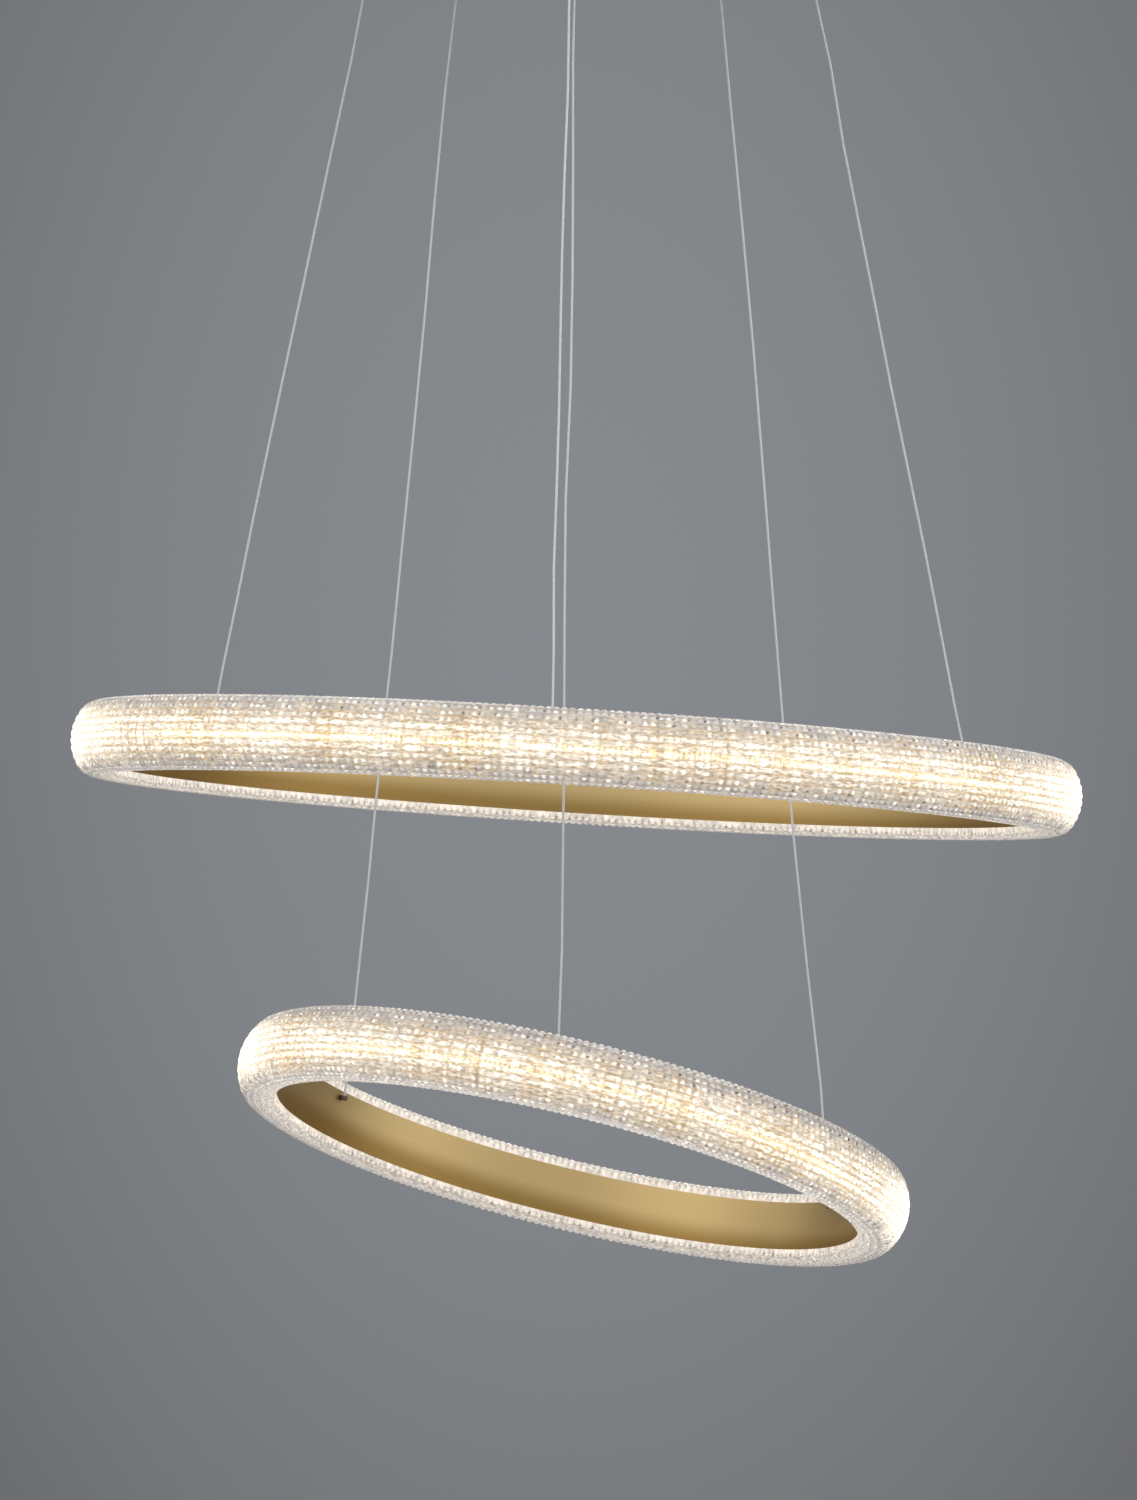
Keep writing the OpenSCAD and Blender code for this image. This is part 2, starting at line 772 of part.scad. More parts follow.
// The leads leave a cap by ports in its wall that faces the terminal blocks
port_in = 5;
port_pitch = 4;
port_z = floor_z + driver_h / 2;
function cap_port(side, j) =
    [side * (driver_l / 2 - port_in - port_pitch * j), driver_y - driver_w / 2, port_z];

module driver_end_caps() {
    base = ear_t + seat_gap;
    color("#d8d5cd")
        for (side = [-1, 1])
            difference() {
                translate([side * (driver_l - driver_cap_l + seat_gap) / 2, driver_y, floor_z + base])
                    rounded_box([driver_cap_l - seat_gap, driver_w, driver_h - base], cap_r);
                translate([0, driver_y, floor_z])
                    driver_core(fit);
                for (j = [0, 1])
                    translate(cap_port(side, j) - [0, 1, 0])
                        rotate([-90, 0, 0])
                            cylinder(d = lead_d + 2 * thread_gap, h = driver_cap_wall + 2, $fn = 32);
            }
}

module driver_nuts() {
    color("#b9bcc0")
        for (x = [-ear_x, ear_x])
            translate([x, driver_y, floor_z + ear_t])
                hex_nut(nut_w, nut_t, weld_stud_d + thread_gap);
}

module earth_nut() {
    color("#b9bcc0")
        translate([earth_at.x, earth_at.y, floor_z])
            hex_nut(nut_w, nut_t, weld_stud_d + thread_gap);
}

// A terminal block with two rows of wire entries in its top, and a slot between each pair of poles
cable_poles = 6;
mains_poles = 3;
slot_w = 1;
slot_t = 2;

module terminal_block(poles) {
    difference() {
        rounded_box([poles * pole_pitch, block_w, block_h], block_r);
        for (n = [0:poles - 1], side = [-1, 1])
            translate([(n - (poles - 1) / 2) * pole_pitch, side * block_w / 4, block_h - entry_l])
                cylinder(d = lead_d + 2 * thread_gap, h = entry_l + 1, $fn = 32);
        for (n = [1:poles - 1])
            translate([(n - poles / 2) * pole_pitch - slot_w / 2, -block_w / 2 - 1, block_h - slot_t])
                cube([slot_w, block_w + 2, slot_t + 1]);
    }
}

module cable_block() {
    color("#f0efe9")
        translate([0, cable_block_y, floor_z])
            terminal_block(cable_poles);
}

module mains_block() {
    color("#f0efe9")
        translate([mains_block_at.x, mains_block_at.y, floor_z])
            terminal_block(mains_poles);
}

// The mouth of entry n in a block's row, on the side given
function entry(middle, poles, n, side) =
    [middle.x + (n - (poles - 1) / 2) * pole_pitch, middle.y + side * block_w / 4, floor_z + block_h];
function cable_entry(n, side) = entry([0, cable_block_y], cable_poles, n, side);
function mains_entry(n, side) = entry(mains_block_at, mains_poles, n, side);

// A lead arches from one point to another, and then goes straight down into a block
arch_rise = [0, 0, 20];
port_rise = [0, -14, 4];
lead_in = entry_l - 1;
lead_above = 1;
function arch_down(a, rise, goal) =
    let (top = goal + [0, 0, lead_above])
    concat(bezier(a, a + rise, top + arch_rise, top, 12), [goal - [0, 0, lead_in]]);

// Above its grip, each cable rises into the canopy and arches over to the cable block
tail_entry = [[2, 5, 0], [3, 4, 1]];
module cable_tails() {
    color([0.85, 0.86, 0.87])
        for (k = [UPPER, LOWER], i = CABLES) {
            p = exit_point(k, i);
            low = [p.x, p.y, exit_z + tail_gap];
            top = [p.x, p.y, neck_z + tail_gap];
            goal = cable_entry(tail_entry[k][i], -1);
            path = concat([low], arch_down(top, arch_rise, goal));
            tube(path, cable_d, cross(goal - top, [0, 0, 1]));
        }
}

// A lead from a driver cap goes straight out of its port, then over and down into its block
module driver_lead(port, goal) {
    start = port + [0, driver_cap_wall - seat_gap - body_gap, 0];
    out = port - [0, lead_above, 0];
    tube(concat([start], arch_down(out, port_rise, goal)), lead_d, cross(goal - port, [0, 0, 1]));
}

module output_leads() {
    color("#a33b32")
        for (j = [0, 1])
            driver_lead(cap_port(1, j), cable_entry(cable_poles - 2 - 3 * j, 1));
}

module mains_leads() {
    color("#6d5a3c")
        for (j = [0, 1])
            driver_lead(cap_port(-1, j), mains_entry(2 * j, 1));
}

ceiling_bracket();
inlet_grommet();
canopy_pan();
canopy_screws();
driver_case();
driver_end_caps();
driver_nuts();
cable_block();
mains_block();
earth_nut();
cable_tails();
output_leads();
mains_leads();
grip_lock_nuts();
grip(UPPER, FRONT);  // upper_front_grip
grip(UPPER, RIGHT);  // upper_right_grip
grip(UPPER, LEFT);  // upper_left_grip
grip(LOWER, FRONT);  // lower_front_grip
grip(LOWER, RIGHT);  // lower_right_grip
grip(LOWER, LEFT);  // lower_left_grip
plunger(UPPER, FRONT);  // upper_front_plunger
plunger(UPPER, RIGHT);  // upper_right_plunger
plunger(UPPER, LEFT);  // upper_left_plunger
plunger(LOWER, FRONT);  // lower_front_plunger
plunger(LOWER, RIGHT);  // lower_right_plunger
plunger(LOWER, LEFT);  // lower_left_plunger
cable(UPPER, FRONT);  // upper_front_cable
cable(UPPER, RIGHT);  // upper_right_cable
cable(UPPER, LEFT);  // upper_left_cable
cable(LOWER, FRONT);  // lower_front_cable
cable(LOWER, RIGHT);  // lower_right_cable
cable(LOWER, LEFT);  // lower_left_cable
channel(UPPER);  // upper_channel
diffuser(UPPER);  // upper_diffuser
light_strip(UPPER);  // upper_light_strip
bushes(UPPER);  // upper_bushes
studs(UPPER);  // upper_studs
feed_wires(UPPER);  // upper_feed_wires
channel(LOWER);  // lower_channel
diffuser(LOWER);  // lower_diffuser
light_strip(LOWER);  // lower_light_strip
bushes(LOWER);  // lower_bushes
studs(LOWER);  // lower_studs
feed_wires(LOWER);  // lower_feed_wires
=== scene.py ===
# %% [markdown]
# # Pendant light with two tilted rings
#
# A ceiling pendant hangs from thin cables. Each of its rings is a clear acrylic band covered in moulded beads, closed
# round an inner band of satin champagne gold metal, with a strip of warm white chips between the two.
#
# The construction comes from the CAD model, which Blender loads as a fixed frame. This script adds what a CAD solid
# doesn't show: the beads, the strands of wire in the cables, the glow of the strip's chips, and the finish of every
# surface.
# All lengths below are written in millimetres, as on a drawing, and turned to metres by one factor.

# %% Load the frame
import math
from types import SimpleNamespace

import bpy
from mathutils import Matrix, Vector


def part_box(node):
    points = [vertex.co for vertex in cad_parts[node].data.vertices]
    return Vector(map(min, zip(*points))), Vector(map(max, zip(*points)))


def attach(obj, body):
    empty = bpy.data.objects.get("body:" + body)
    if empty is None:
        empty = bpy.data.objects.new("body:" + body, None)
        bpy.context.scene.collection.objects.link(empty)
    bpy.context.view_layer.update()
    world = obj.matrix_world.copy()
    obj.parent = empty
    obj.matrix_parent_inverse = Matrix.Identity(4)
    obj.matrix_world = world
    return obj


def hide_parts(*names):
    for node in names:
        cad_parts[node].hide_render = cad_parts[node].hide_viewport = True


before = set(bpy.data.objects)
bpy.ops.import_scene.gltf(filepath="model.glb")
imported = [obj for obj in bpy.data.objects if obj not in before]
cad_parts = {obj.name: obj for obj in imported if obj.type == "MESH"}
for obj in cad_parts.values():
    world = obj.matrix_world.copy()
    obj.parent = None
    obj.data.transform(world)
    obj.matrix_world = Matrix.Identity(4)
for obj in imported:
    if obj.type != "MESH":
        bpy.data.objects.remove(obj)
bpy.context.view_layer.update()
MM = 0.001

# %% [markdown]
# ## Camera
#
# The photograph was taken from far away with a long lens: the two rings show hardly any perspective. So the camera
# stands over four metres in front, level with the space between the rings, and its lens is as long as the framing
# needs. It leans by half a degree, because the plumb line through the two rings leans by that much in the picture.

# %% Camera
VIEW_FROM = (-4.8, -4328.0, -552.85)
LOOKS_UP = 0.008
LEANS = 0.0096
SENSOR = 36.0
FOCAL_PX = 7295.1
PICTURE_HEIGHT_PX = 1500

camera_data = bpy.data.cameras.new("camera")
camera_data.sensor_width = SENSOR
camera_data.lens = FOCAL_PX * SENSOR / PICTURE_HEIGHT_PX
camera_data.clip_end = 60
camera = bpy.data.objects.new("camera", camera_data)
bpy.context.scene.collection.objects.link(camera)
camera.matrix_world = (
    Matrix.Translation(Vector(VIEW_FROM) * MM)
    @ Matrix.Rotation(math.pi / 2 + LOOKS_UP, 4, "X")
    @ Matrix.Rotation(LEANS, 4, "Z")
)
bpy.context.scene.camera = camera
bpy.context.scene.view_settings.view_transform = "Standard"
print("lens", round(camera_data.lens, 1), "mm")

# %% [markdown]
# ## Sizes that the rings share with the CAD model
#
# A ring hangs at a depth below the ceiling and is tilted about two axes, so everything on it is made as if it lay flat
# round the origin, and then placed by the ring's matrix. Lengths across the ring's section are measured outwards from
# the outermost bead, so the gold band, which is on the inside, has a negative one.

# %% Sizes of the rings
RINGS = {
    "upper": {"radius": 300, "drop": 530, "tilt": (-2.3, 3), "turn": -3.2, "exit_r": 157, "columns": 410,
              "line_drop": 0.2},
    "lower": {"radius": 204, "drop": 749, "tilt": (-13.1, 13.3), "turn": -6.9, "exit_r": 94, "columns": 279,
              "line_drop": 1.0},
}
CABLE_ANGLES = {"front": -90, "right": 30, "left": 150}
SECTION_H = 43
BAND_U = -26.8
BAND_H = 29.4
CHANNEL_WALL = 1.6
LIP_WALL = 2.8
LIP_CORNER_R = 3
LIP_PLAY = 0.15
LIP_Z = BAND_H / 2 + LIP_PLAY
BELLY_R = 30
SHOULDER_R = 10
BEAD_ROWS = 16
BEAD_DEPTH = 1
DIFFUSER_WALL = 2.6
EXIT_Z = -54
CABLE_U = -29.6
STUD_Z = 10.4


def placed(ring):
    """The matrix that lays a flat ring in its place under the canopy, in metres."""
    x, y = (math.radians(a) for a in ring["tilt"])
    down = Matrix.Translation((0, 0, -ring["drop"] * MM))
    return down @ Matrix.Rotation(y, 4, "Y") @ Matrix.Rotation(x, 4, "X")


for name, ring in RINGS.items():
    print(name, "ring", 2 * ring["radius"], "mm across,", ring["columns"], "beads round")

# %% [markdown]
# ## One function for nodes
#
# Materials and Geometry Nodes are both graphs. This function adds one node of any kind, sets its properties, and fills
# its sockets. A socket takes a plain value, a colour written in hex, a socket of another node, or another node itself,
# which then gives the first output that it has in use.

# %% Nodes and colours
def linear(hex_colour):
    """An sRGB colour such as '#b8945a' as the linear values that shaders take, with alpha 1."""
    parts = [int(hex_colour[i : i + 2], 16) / 255 for i in (1, 3, 5)]
    return tuple(c / 12.92 if c <= 0.04045 else ((c + 0.055) / 1.055) ** 2.4 for c in parts) + (1.0,)


def add(tree, kind, inputs=None, **settings):
    """Adds a node of that kind to the tree, with its settings, and fills its sockets by name or number."""
    node = tree.nodes.new(kind)
    for name, value in settings.items():
        setattr(node, name, value)
    for key, value in (inputs or {}).items():
        if isinstance(value, bpy.types.Node):
            value = next(s for s in value.outputs if s.enabled)
        if isinstance(value, bpy.types.NodeSocket):
            tree.links.new(value, node.inputs[key])
        elif isinstance(value, str) and value.startswith("#"):
            node.inputs[key].default_value = linear(value)
        else:
            node.inputs[key].default_value = value
    return node


def link_mesh(name, vertices, faces, edges=()):
    """A new mesh object in the scene, from plain lists."""
    mesh = bpy.data.meshes.new(name)
    mesh.from_pydata(vertices, list(edges), faces)
    piece = bpy.data.objects.new(name, mesh)
    bpy.context.scene.collection.objects.link(piece)
    return piece


print("champagne gold in linear light:", [round(c, 3) for c in linear("#b8945a")[:3]])

# %% [markdown]
# ## Materials: how each one is built
#
# Every material ends in a Principled shader with the roughness and index of the real stuff. A texture breaks up its
# colour and roughness a little, at a scale taken from the real surface in millimetres, and a bump gives the relief that
# is too fine to model. Object coordinates are in metres here, so a grain of N mm needs a scale of 1000 / N.

# %% Material helpers
def new_material(name):
    """An empty material and its tree."""
    material = bpy.data.materials.new(name)
    material.use_nodes = True
    material.node_tree.nodes.clear()
    return material, material.node_tree


def grained(name, dark, light, grain_mm, roughness, relief_mm=0.01, stretch=(1, 1, 1), more=None):
    """A surface whose colour and roughness wander between two values over grains of that size."""
    material, tree = new_material(name)
    place = add(tree, "ShaderNodeTexCoord").outputs["Object"]
    place = add(tree, "ShaderNodeMapping", {"Vector": place, "Scale": stretch})
    grain = add(tree, "ShaderNodeTexNoise", {"Vector": place, "Scale": 1000 / grain_mm, "Detail": 3.0})
    tint = add(tree, "ShaderNodeMix", {"Factor": grain, 6: dark, 7: light}, data_type="RGBA")
    rough = add(tree, "ShaderNodeMapRange", {"Value": grain, "To Min": roughness[0], "To Max": roughness[1]})
    relief = add(tree, "ShaderNodeBump", {"Height": grain, "Distance": relief_mm * MM, "Strength": 0.6})
    shader = add(tree, "ShaderNodeBsdfPrincipled",
                 {"Base Color": tint, "Roughness": rough, "Normal": relief, **(more or {})})
    add(tree, "ShaderNodeOutputMaterial", {"Surface": shader})
    return material


METAL = {"Metallic": 1.0}

# %% Materials of the canopy and its fittings
# Sheet steel with satin champagne enamel: a fine orange peel of about 1.5 mm, and metal flake under a soft coat.
ENAMEL = grained("satin_champagne_enamel", "#ab905f", "#b99e6e", 1.5, (0.36, 0.44), 0.02,
                 more={"Metallic": 0.75, "Coat Weight": 0.25, "Coat Roughness": 0.3})
# Zinc plate on rolled steel: a cool mottle of crystals a few millimetres wide.
ZINC = grained("zinc_plated_steel", "#8f9397", "#adb0b3", 3.0, (0.28, 0.42), more=METAL)
# Brass turned on a lathe: fine rings across its axis, which stands upright here.
BRASS = grained("turned_satin_brass", "#b3935b", "#c7a872", 6.0, (0.24, 0.34), 0.01, (1, 1, 12), METAL)
# Moulded plastics, with a spark-eroded grain of under a millimetre.
WHITE_PLASTIC = grained("moulded_white_polycarbonate", "#e2e0da", "#ebe9e4", 0.8, (0.42, 0.52), 0.03)
GREY_PLASTIC = grained("moulded_light_grey_polycarbonate", "#c4c2bb", "#cfcdc7", 0.8, (0.42, 0.52), 0.03)
BLOCK_NYLON = grained("moulded_natural_nylon", "#dedbcf", "#ece9df", 1.2, (0.38, 0.5), 0.02,
                      more={"Subsurface Weight": 0.1})
RUBBER = grained("moulded_black_rubber", "#1c1c1d", "#2a2a2b", 1.0, (0.6, 0.75), 0.04)
BLACK_NYLON = grained("moulded_black_nylon", "#1b1a19", "#262422", 0.8, (0.4, 0.5), 0.02)
# Extruded insulation is glossy, with long faint drag marks.
RED_LEAD = grained("extruded_red_insulation", "#8e1f19", "#a3271f", 2.0, (0.26, 0.36))
BROWN_LEAD = grained("extruded_brown_insulation", "#4a2b1a", "#5b3621", 2.0, (0.26, 0.36))
# Dark bronze plate on the studs, rubbed a little lighter in patches.
BRONZE = grained("dark_bronze_plate", "#5d4a3d", "#77614f", 0.7, (0.35, 0.5), more={"Metallic": 0.5})
TINNED = grained("tinned_copper_strands", "#9a958c", "#c4c0b6", 0.9, (0.22, 0.34), more=METAL)
# A clear sheath this thin looks milky, because its surface is never quite smooth.
SHEATH = grained("clear_extruded_sheath", "#cbcdcf", "#dddfe1", 4.0, (0.12, 0.22), 0.02,
                 more={"IOR": 1.5, "Transmission Weight": 0.1})
print(len(bpy.data.materials), "materials so far")

# %% [markdown]
# ## Materials that follow a ring
#
# The rolled band, the strip and the beads all run round a ring. Their textures need a point's radius, angle and height
# in the flat ring, so the tilt is taken out of the coordinates first, by the same angles that tilt the ring.

# %% Coordinates in the flat ring
def polar(tree, ring):
    """Radius and height in metres and the angle in radians, as three sockets."""
    x_tilt, y_tilt = (math.radians(a) for a in ring["tilt"])
    place = add(tree, "ShaderNodeTexCoord").outputs["Object"]
    flat = add(tree, "ShaderNodeMapping",
               {"Vector": place, "Location": (0, 0, -ring["drop"] * MM), "Rotation": (x_tilt, y_tilt, 0)},
               vector_type="TEXTURE")
    x, y, z = add(tree, "ShaderNodeSeparateXYZ", {0: flat}).outputs
    across = add(tree, "ShaderNodeCombineXYZ", {"X": x, "Y": y})
    radius = add(tree, "ShaderNodeVectorMath", {0: across}, operation="LENGTH")
    angle = add(tree, "ShaderNodeMath", {0: y, 1: x}, operation="ARCTAN2")
    return radius.outputs["Value"], angle.outputs[0], z


# %% [markdown]
# The gold band is aluminium, rolled to shape and anodised champagne gold. An even gold would look like paint. What
# makes it metal is a satin gloss that stretches the lamps' light along the band, faint lines left by the rolls, and a
# painted dark reflection along its lower edge. Its back is lacquered white, to throw the strip's light outwards.

# %% Satin gold band, lacquered white behind
ROLL_LINE_MM = 0.35
# The painted dark reflection on the gold band: heights in mm where it starts and where it is full, and its lean.
LOW_REFLECTION_FROM_Z, LOW_REFLECTION_TO_Z = 2, -13
LOW_REFLECTION_LEANS = 4


def gold_channel(name, ring):
    """Rolled aluminium, anodised champagne gold: satin, with faint lines that the rolls left along the band."""
    material, tree = new_material(f"satin_anodised_gold_{name}")
    radius, angle, z = polar(tree, ring)
    along = add(tree, "ShaderNodeMath", {0: angle, 1: 6.0}, operation="MULTIPLY")
    up = add(tree, "ShaderNodeMath", {0: z, 1: 1000 / ROLL_LINE_MM}, operation="MULTIPLY")
    across = add(tree, "ShaderNodeCombineXYZ", {"X": along, "Y": up})
    lines = add(tree, "ShaderNodeTexNoise", {"Vector": across, "Scale": 1.0, "Detail": 2.0})
    gold = add(tree, "ShaderNodeMix", {"Factor": lines, 6: "#bea36e", 7: "#cab17f"}, data_type="RGBA")

    # Painted dark reflection on the lower edge, a little lower on one side of the ring than on the other.
    lean = add(tree, "ShaderNodeMath", {0: angle}, operation="COSINE")
    lean = add(tree, "ShaderNodeMath", {0: lean, 1: LOW_REFLECTION_LEANS * MM, 2: z}, operation="MULTIPLY_ADD")
    low_reflection = add(tree, "ShaderNodeMapRange", {"Value": lean, "From Min": LOW_REFLECTION_FROM_Z * MM, "From Max": LOW_REFLECTION_TO_Z * MM},
              interpolation_type="SMOOTHSTEP")
    gold = add(tree, "ShaderNodeMix", {"Factor": low_reflection, 6: gold, 7: "#997c47"}, data_type="RGBA")

    behind = add(tree, "ShaderNodeMath", {0: radius, 1: (ring["radius"] + BAND_U + 0.5 * CHANNEL_WALL) * MM},
                 operation="GREATER_THAN")
    colour = add(tree, "ShaderNodeMix", {"Factor": behind, 6: gold, 7: "#efeae0"}, data_type="RGBA")
    metal = add(tree, "ShaderNodeMath", {0: 1.0, 1: behind}, operation="SUBTRACT")
    rough = add(tree, "ShaderNodeMapRange", {"Value": lines, "To Min": 0.36, "To Max": 0.46})
    relief = add(tree, "ShaderNodeBump", {"Height": lines, "Distance": 0.006 * MM, "Strength": 0.5})
    shader = add(tree, "ShaderNodeBsdfPrincipled",
                 {"Base Color": colour, "Metallic": metal, "Roughness": rough, "Normal": relief})
    add(tree, "ShaderNodeOutputMaterial", {"Surface": shader})
    return material


# %% [markdown]
# The beads work like thousands of small lenses. Each one shows its own little picture of the strip behind it, so the
# strip looks like several broken bright lines, one to a row of beads, and the light between them is amber. Tracing all
# those lenses would take very many samples. So the pictures are drawn by nodes, in the bead's own coordinates: `column`
# and `row` count beads, their fractions give the place inside a bead, and their whole parts pick its random values.
# The strip sits deep behind the beads of a tilted ring, so its brightest picture isn't in the middle row: seen from
# level with the ring it moves down a row or two where the ring's front is raised.

# %% Which bead, and where in it
LIT_ROWS_SHIFT = (-1.5, 2.5)
MIDDLE_ROW = BEAD_ROWS / 2 - 0.5


def bead_coordinates(tree, ring):
    """The coordinates that the light in a bead is drawn from, by name."""
    radius, angle, _ = polar(tree, ring)
    row = add(tree, "ShaderNodeAttribute", attribute_name="row").outputs["Fac"]
    column = add(tree, "ShaderNodeMath", {0: angle, 1: ring["columns"] / (2 * math.pi)}, operation="MULTIPLY")
    # The shell's inside has a row number that is further from the middle than any bead's or lip's.
    beaded = add(tree, "ShaderNodeMath", {0: row, 1: BEAD_ROWS / 2, 2: BEAD_ROWS / 2 + 1.01}, operation="COMPARE")

    # How many rows this bead is below the brightest picture of the strip.
    sine = add(tree, "ShaderNodeMath", {0: angle}, operation="SINE")
    steep = add(tree, "ShaderNodeMath", {0: sine}, operation="ABSOLUTE")
    reach = add(tree, "ShaderNodeMath", {0: steep, 1: LIT_ROWS_SHIFT[0], 2: LIT_ROWS_SHIFT[1]},
                operation="MULTIPLY_ADD")
    shift = add(tree, "ShaderNodeMath", {0: sine, 1: reach}, operation="MULTIPLY")
    line = add(tree, "ShaderNodeMath", {0: shift, 1: -ring["line_drop"], 2: MIDDLE_ROW}, operation="MULTIPLY_ADD")
    bead_row = add(tree, "ShaderNodeMath", {0: row}, operation="FLOOR")
    below = add(tree, "ShaderNodeMath", {0: bead_row, 1: line}, operation="SUBTRACT")
    near = add(tree, "ShaderNodeMath", {0: below}, operation="ABSOLUTE")

    # Two columns share one chip. `down` is the way from the top of the bead to its bottom, from 0 to 1.
    pair = add(tree, "ShaderNodeMath", {0: column, 1: 0.5}, operation="MULTIPLY")
    down = add(tree, "ShaderNodeMath", {0: row}, operation="FRACT")
    return SimpleNamespace(radius=radius, row=row, column=column, beaded=beaded, steep=steep, bead_row=bead_row,
                           below=below, near=near, pair=pair, down=down)


# %% [markdown]
# No bead is quite like the next. White noise on whole numbers gives one value to a bead, or to the pair of columns that
# shares a chip. Smooth noise does the rest: a wobble of about 2 mm bends every outline, short dashes break up the
# light, and along the ring the chips' yellow shows in some stretches more than in others.

# %% What differs from bead to bead
WOBBLE_MM = 2.2


def add_luck(tree, at):
    """Adds the random values of a bead to its coordinates."""
    pair_column = add(tree, "ShaderNodeMath", {0: at.pair}, operation="FLOOR")
    pair_at = add(tree, "ShaderNodeCombineXYZ", {"X": pair_column, "Y": at.bead_row})
    luck = add(tree, "ShaderNodeTexWhiteNoise", {"Vector": pair_at}, noise_dimensions="2D").outputs["Color"]
    at.pair_luck = add(tree, "ShaderNodeSeparateColor", {0: luck}).outputs
    bead_column = add(tree, "ShaderNodeMath", {0: at.column}, operation="FLOOR")
    bead_at = add(tree, "ShaderNodeCombineXYZ", {"X": bead_column, "Y": at.bead_row, "Z": 7.0})
    luck = add(tree, "ShaderNodeTexWhiteNoise", {"Vector": bead_at}, noise_dimensions="3D").outputs["Color"]
    at.bead_luck = add(tree, "ShaderNodeSeparateColor", {0: luck}).outputs

    here = add(tree, "ShaderNodeTexCoord").outputs["Object"]
    wobble = add(tree, "ShaderNodeTexNoise", {"Vector": here, "Scale": 1000 / WOBBLE_MM, "Detail": 0.0})
    at.wobble = add(tree, "ShaderNodeSeparateColor", {0: wobble.outputs["Color"]}).outputs
    dash = add(tree, "ShaderNodeCombineXYZ", {"X": at.column, "Y": at.row})
    dash = add(tree, "ShaderNodeVectorMath", {0: dash, 1: (1.1, 3.4, 1)}, operation="MULTIPLY")
    dash = add(tree, "ShaderNodeTexNoise", {"Vector": dash, "Scale": 1.0, "Detail": 1.0})
    at.grain = add(tree, "ShaderNodeMapRange",
                   {"Value": dash, "From Min": 0.32, "From Max": 0.68, "To Min": 0.3, "To Max": 1.7})
    stretch = add(tree, "ShaderNodeTexNoise", {"W": at.pair, "Scale": 0.16, "Detail": 2.0, "Roughness": 0.7},
                  noise_dimensions="1D")
    # Painted light: stretches of the ring where the strip's light and the lit beads' colour look more yellow.
    at.dyed = add(tree, "ShaderNodeMapRange", {"Value": stretch, "From Min": 0.4, "From Max": 0.62, "To Min": 0.15})


# %% [markdown]
# Three things shine in a bead. The streak is the picture of the strip, thick or thin from pair to pair, and larger in
# every second row. Its glow fades out within four rows, and is a little weaker where the strip is seen straight on than
# where it is seen along its length. The spot is a small glint in single beads, out to the flat top and bottom. Between
# the two lies warm light, which reaches some beads further than others.

# %% The streaks of light
def streak_and_glow(tree, at):
    """The shape of the strip's picture in this bead, from 0 to 1, and its strength."""
    middle = add(tree, "ShaderNodeMath", {0: at.below, 1: -0.1, 2: 0.25}, operation="MULTIPLY_ADD")
    middle = add(tree, "ShaderNodeMath", {0: at.wobble[0], 1: 0.5, 2: middle}, operation="MULTIPLY_ADD")
    at.off_middle = add(tree, "ShaderNodeMath", {0: at.down, 1: middle}, operation="SUBTRACT")
    at.off_middle = add(tree, "ShaderNodeMath", {0: at.off_middle}, operation="ABSOLUTE")
    thick = add(tree, "ShaderNodeMapRange", {"Value": at.pair_luck[2], "To Min": 0.36, "To Max": 0.62})
    streak = add(tree, "ShaderNodeMapRange", {"Value": at.off_middle, "From Min": thick, "From Max": 0.12},
                 interpolation_type="SMOOTHSTEP")

    # The streak breaks between two chips, but in some stretches of the ring it is joined.
    apart = add(tree, "ShaderNodeMath", {0: at.wobble[1], 1: 0.2, 2: at.pair}, operation="MULTIPLY_ADD")
    apart = add(tree, "ShaderNodeMath", {0: apart, 1: 0.5}, operation="PINGPONG")
    patch = add(tree, "ShaderNodeTexNoise", {"W": at.pair, "Scale": 0.11, "Detail": 1.0}, noise_dimensions="1D")
    joined = add(tree, "ShaderNodeMapRange",
                 {"Value": patch, "From Min": 0.47, "From Max": 0.6, "To Min": 0.8, "To Max": 0.0})
    whole = add(tree, "ShaderNodeMapRange", {"Value": apart, "From Min": 0.02, "From Max": 0.12, "To Min": joined},
                interpolation_type="SMOOTHSTEP")
    streak = add(tree, "ShaderNodeMath", {0: streak, 1: whole}, operation="MULTIPLY")

    phase = add(tree, "ShaderNodeMath", {0: at.near, 1: 1.08 * math.pi}, operation="MULTIPLY")
    phase = add(tree, "ShaderNodeMath", {0: phase}, operation="COSINE")
    phase = add(tree, "ShaderNodeMath", {0: phase, 1: 0.3, 2: 0.7}, operation="MULTIPLY_ADD")
    spread = add(tree, "ShaderNodeMath", {0: at.pair_luck[0], 1: 1.1, 2: 0.35}, operation="MULTIPLY_ADD")
    facing = add(tree, "ShaderNodeMapRange",
                 {"Value": at.steep, "From Min": 0.7, "From Max": 1.0, "To Min": 0.7, "To Max": 0.5})
    glow = add(tree, "ShaderNodeMapRange",
               {"Value": at.near, "From Min": 0.4, "From Max": 4.2, "To Min": facing, "To Max": 0.0},
               interpolation_type="SMOOTHSTEP")
    for factor in (phase, spread, at.grain, streak):
        glow = add(tree, "ShaderNodeMath", {0: glow, 1: factor}, operation="MULTIPLY")
    return streak, glow


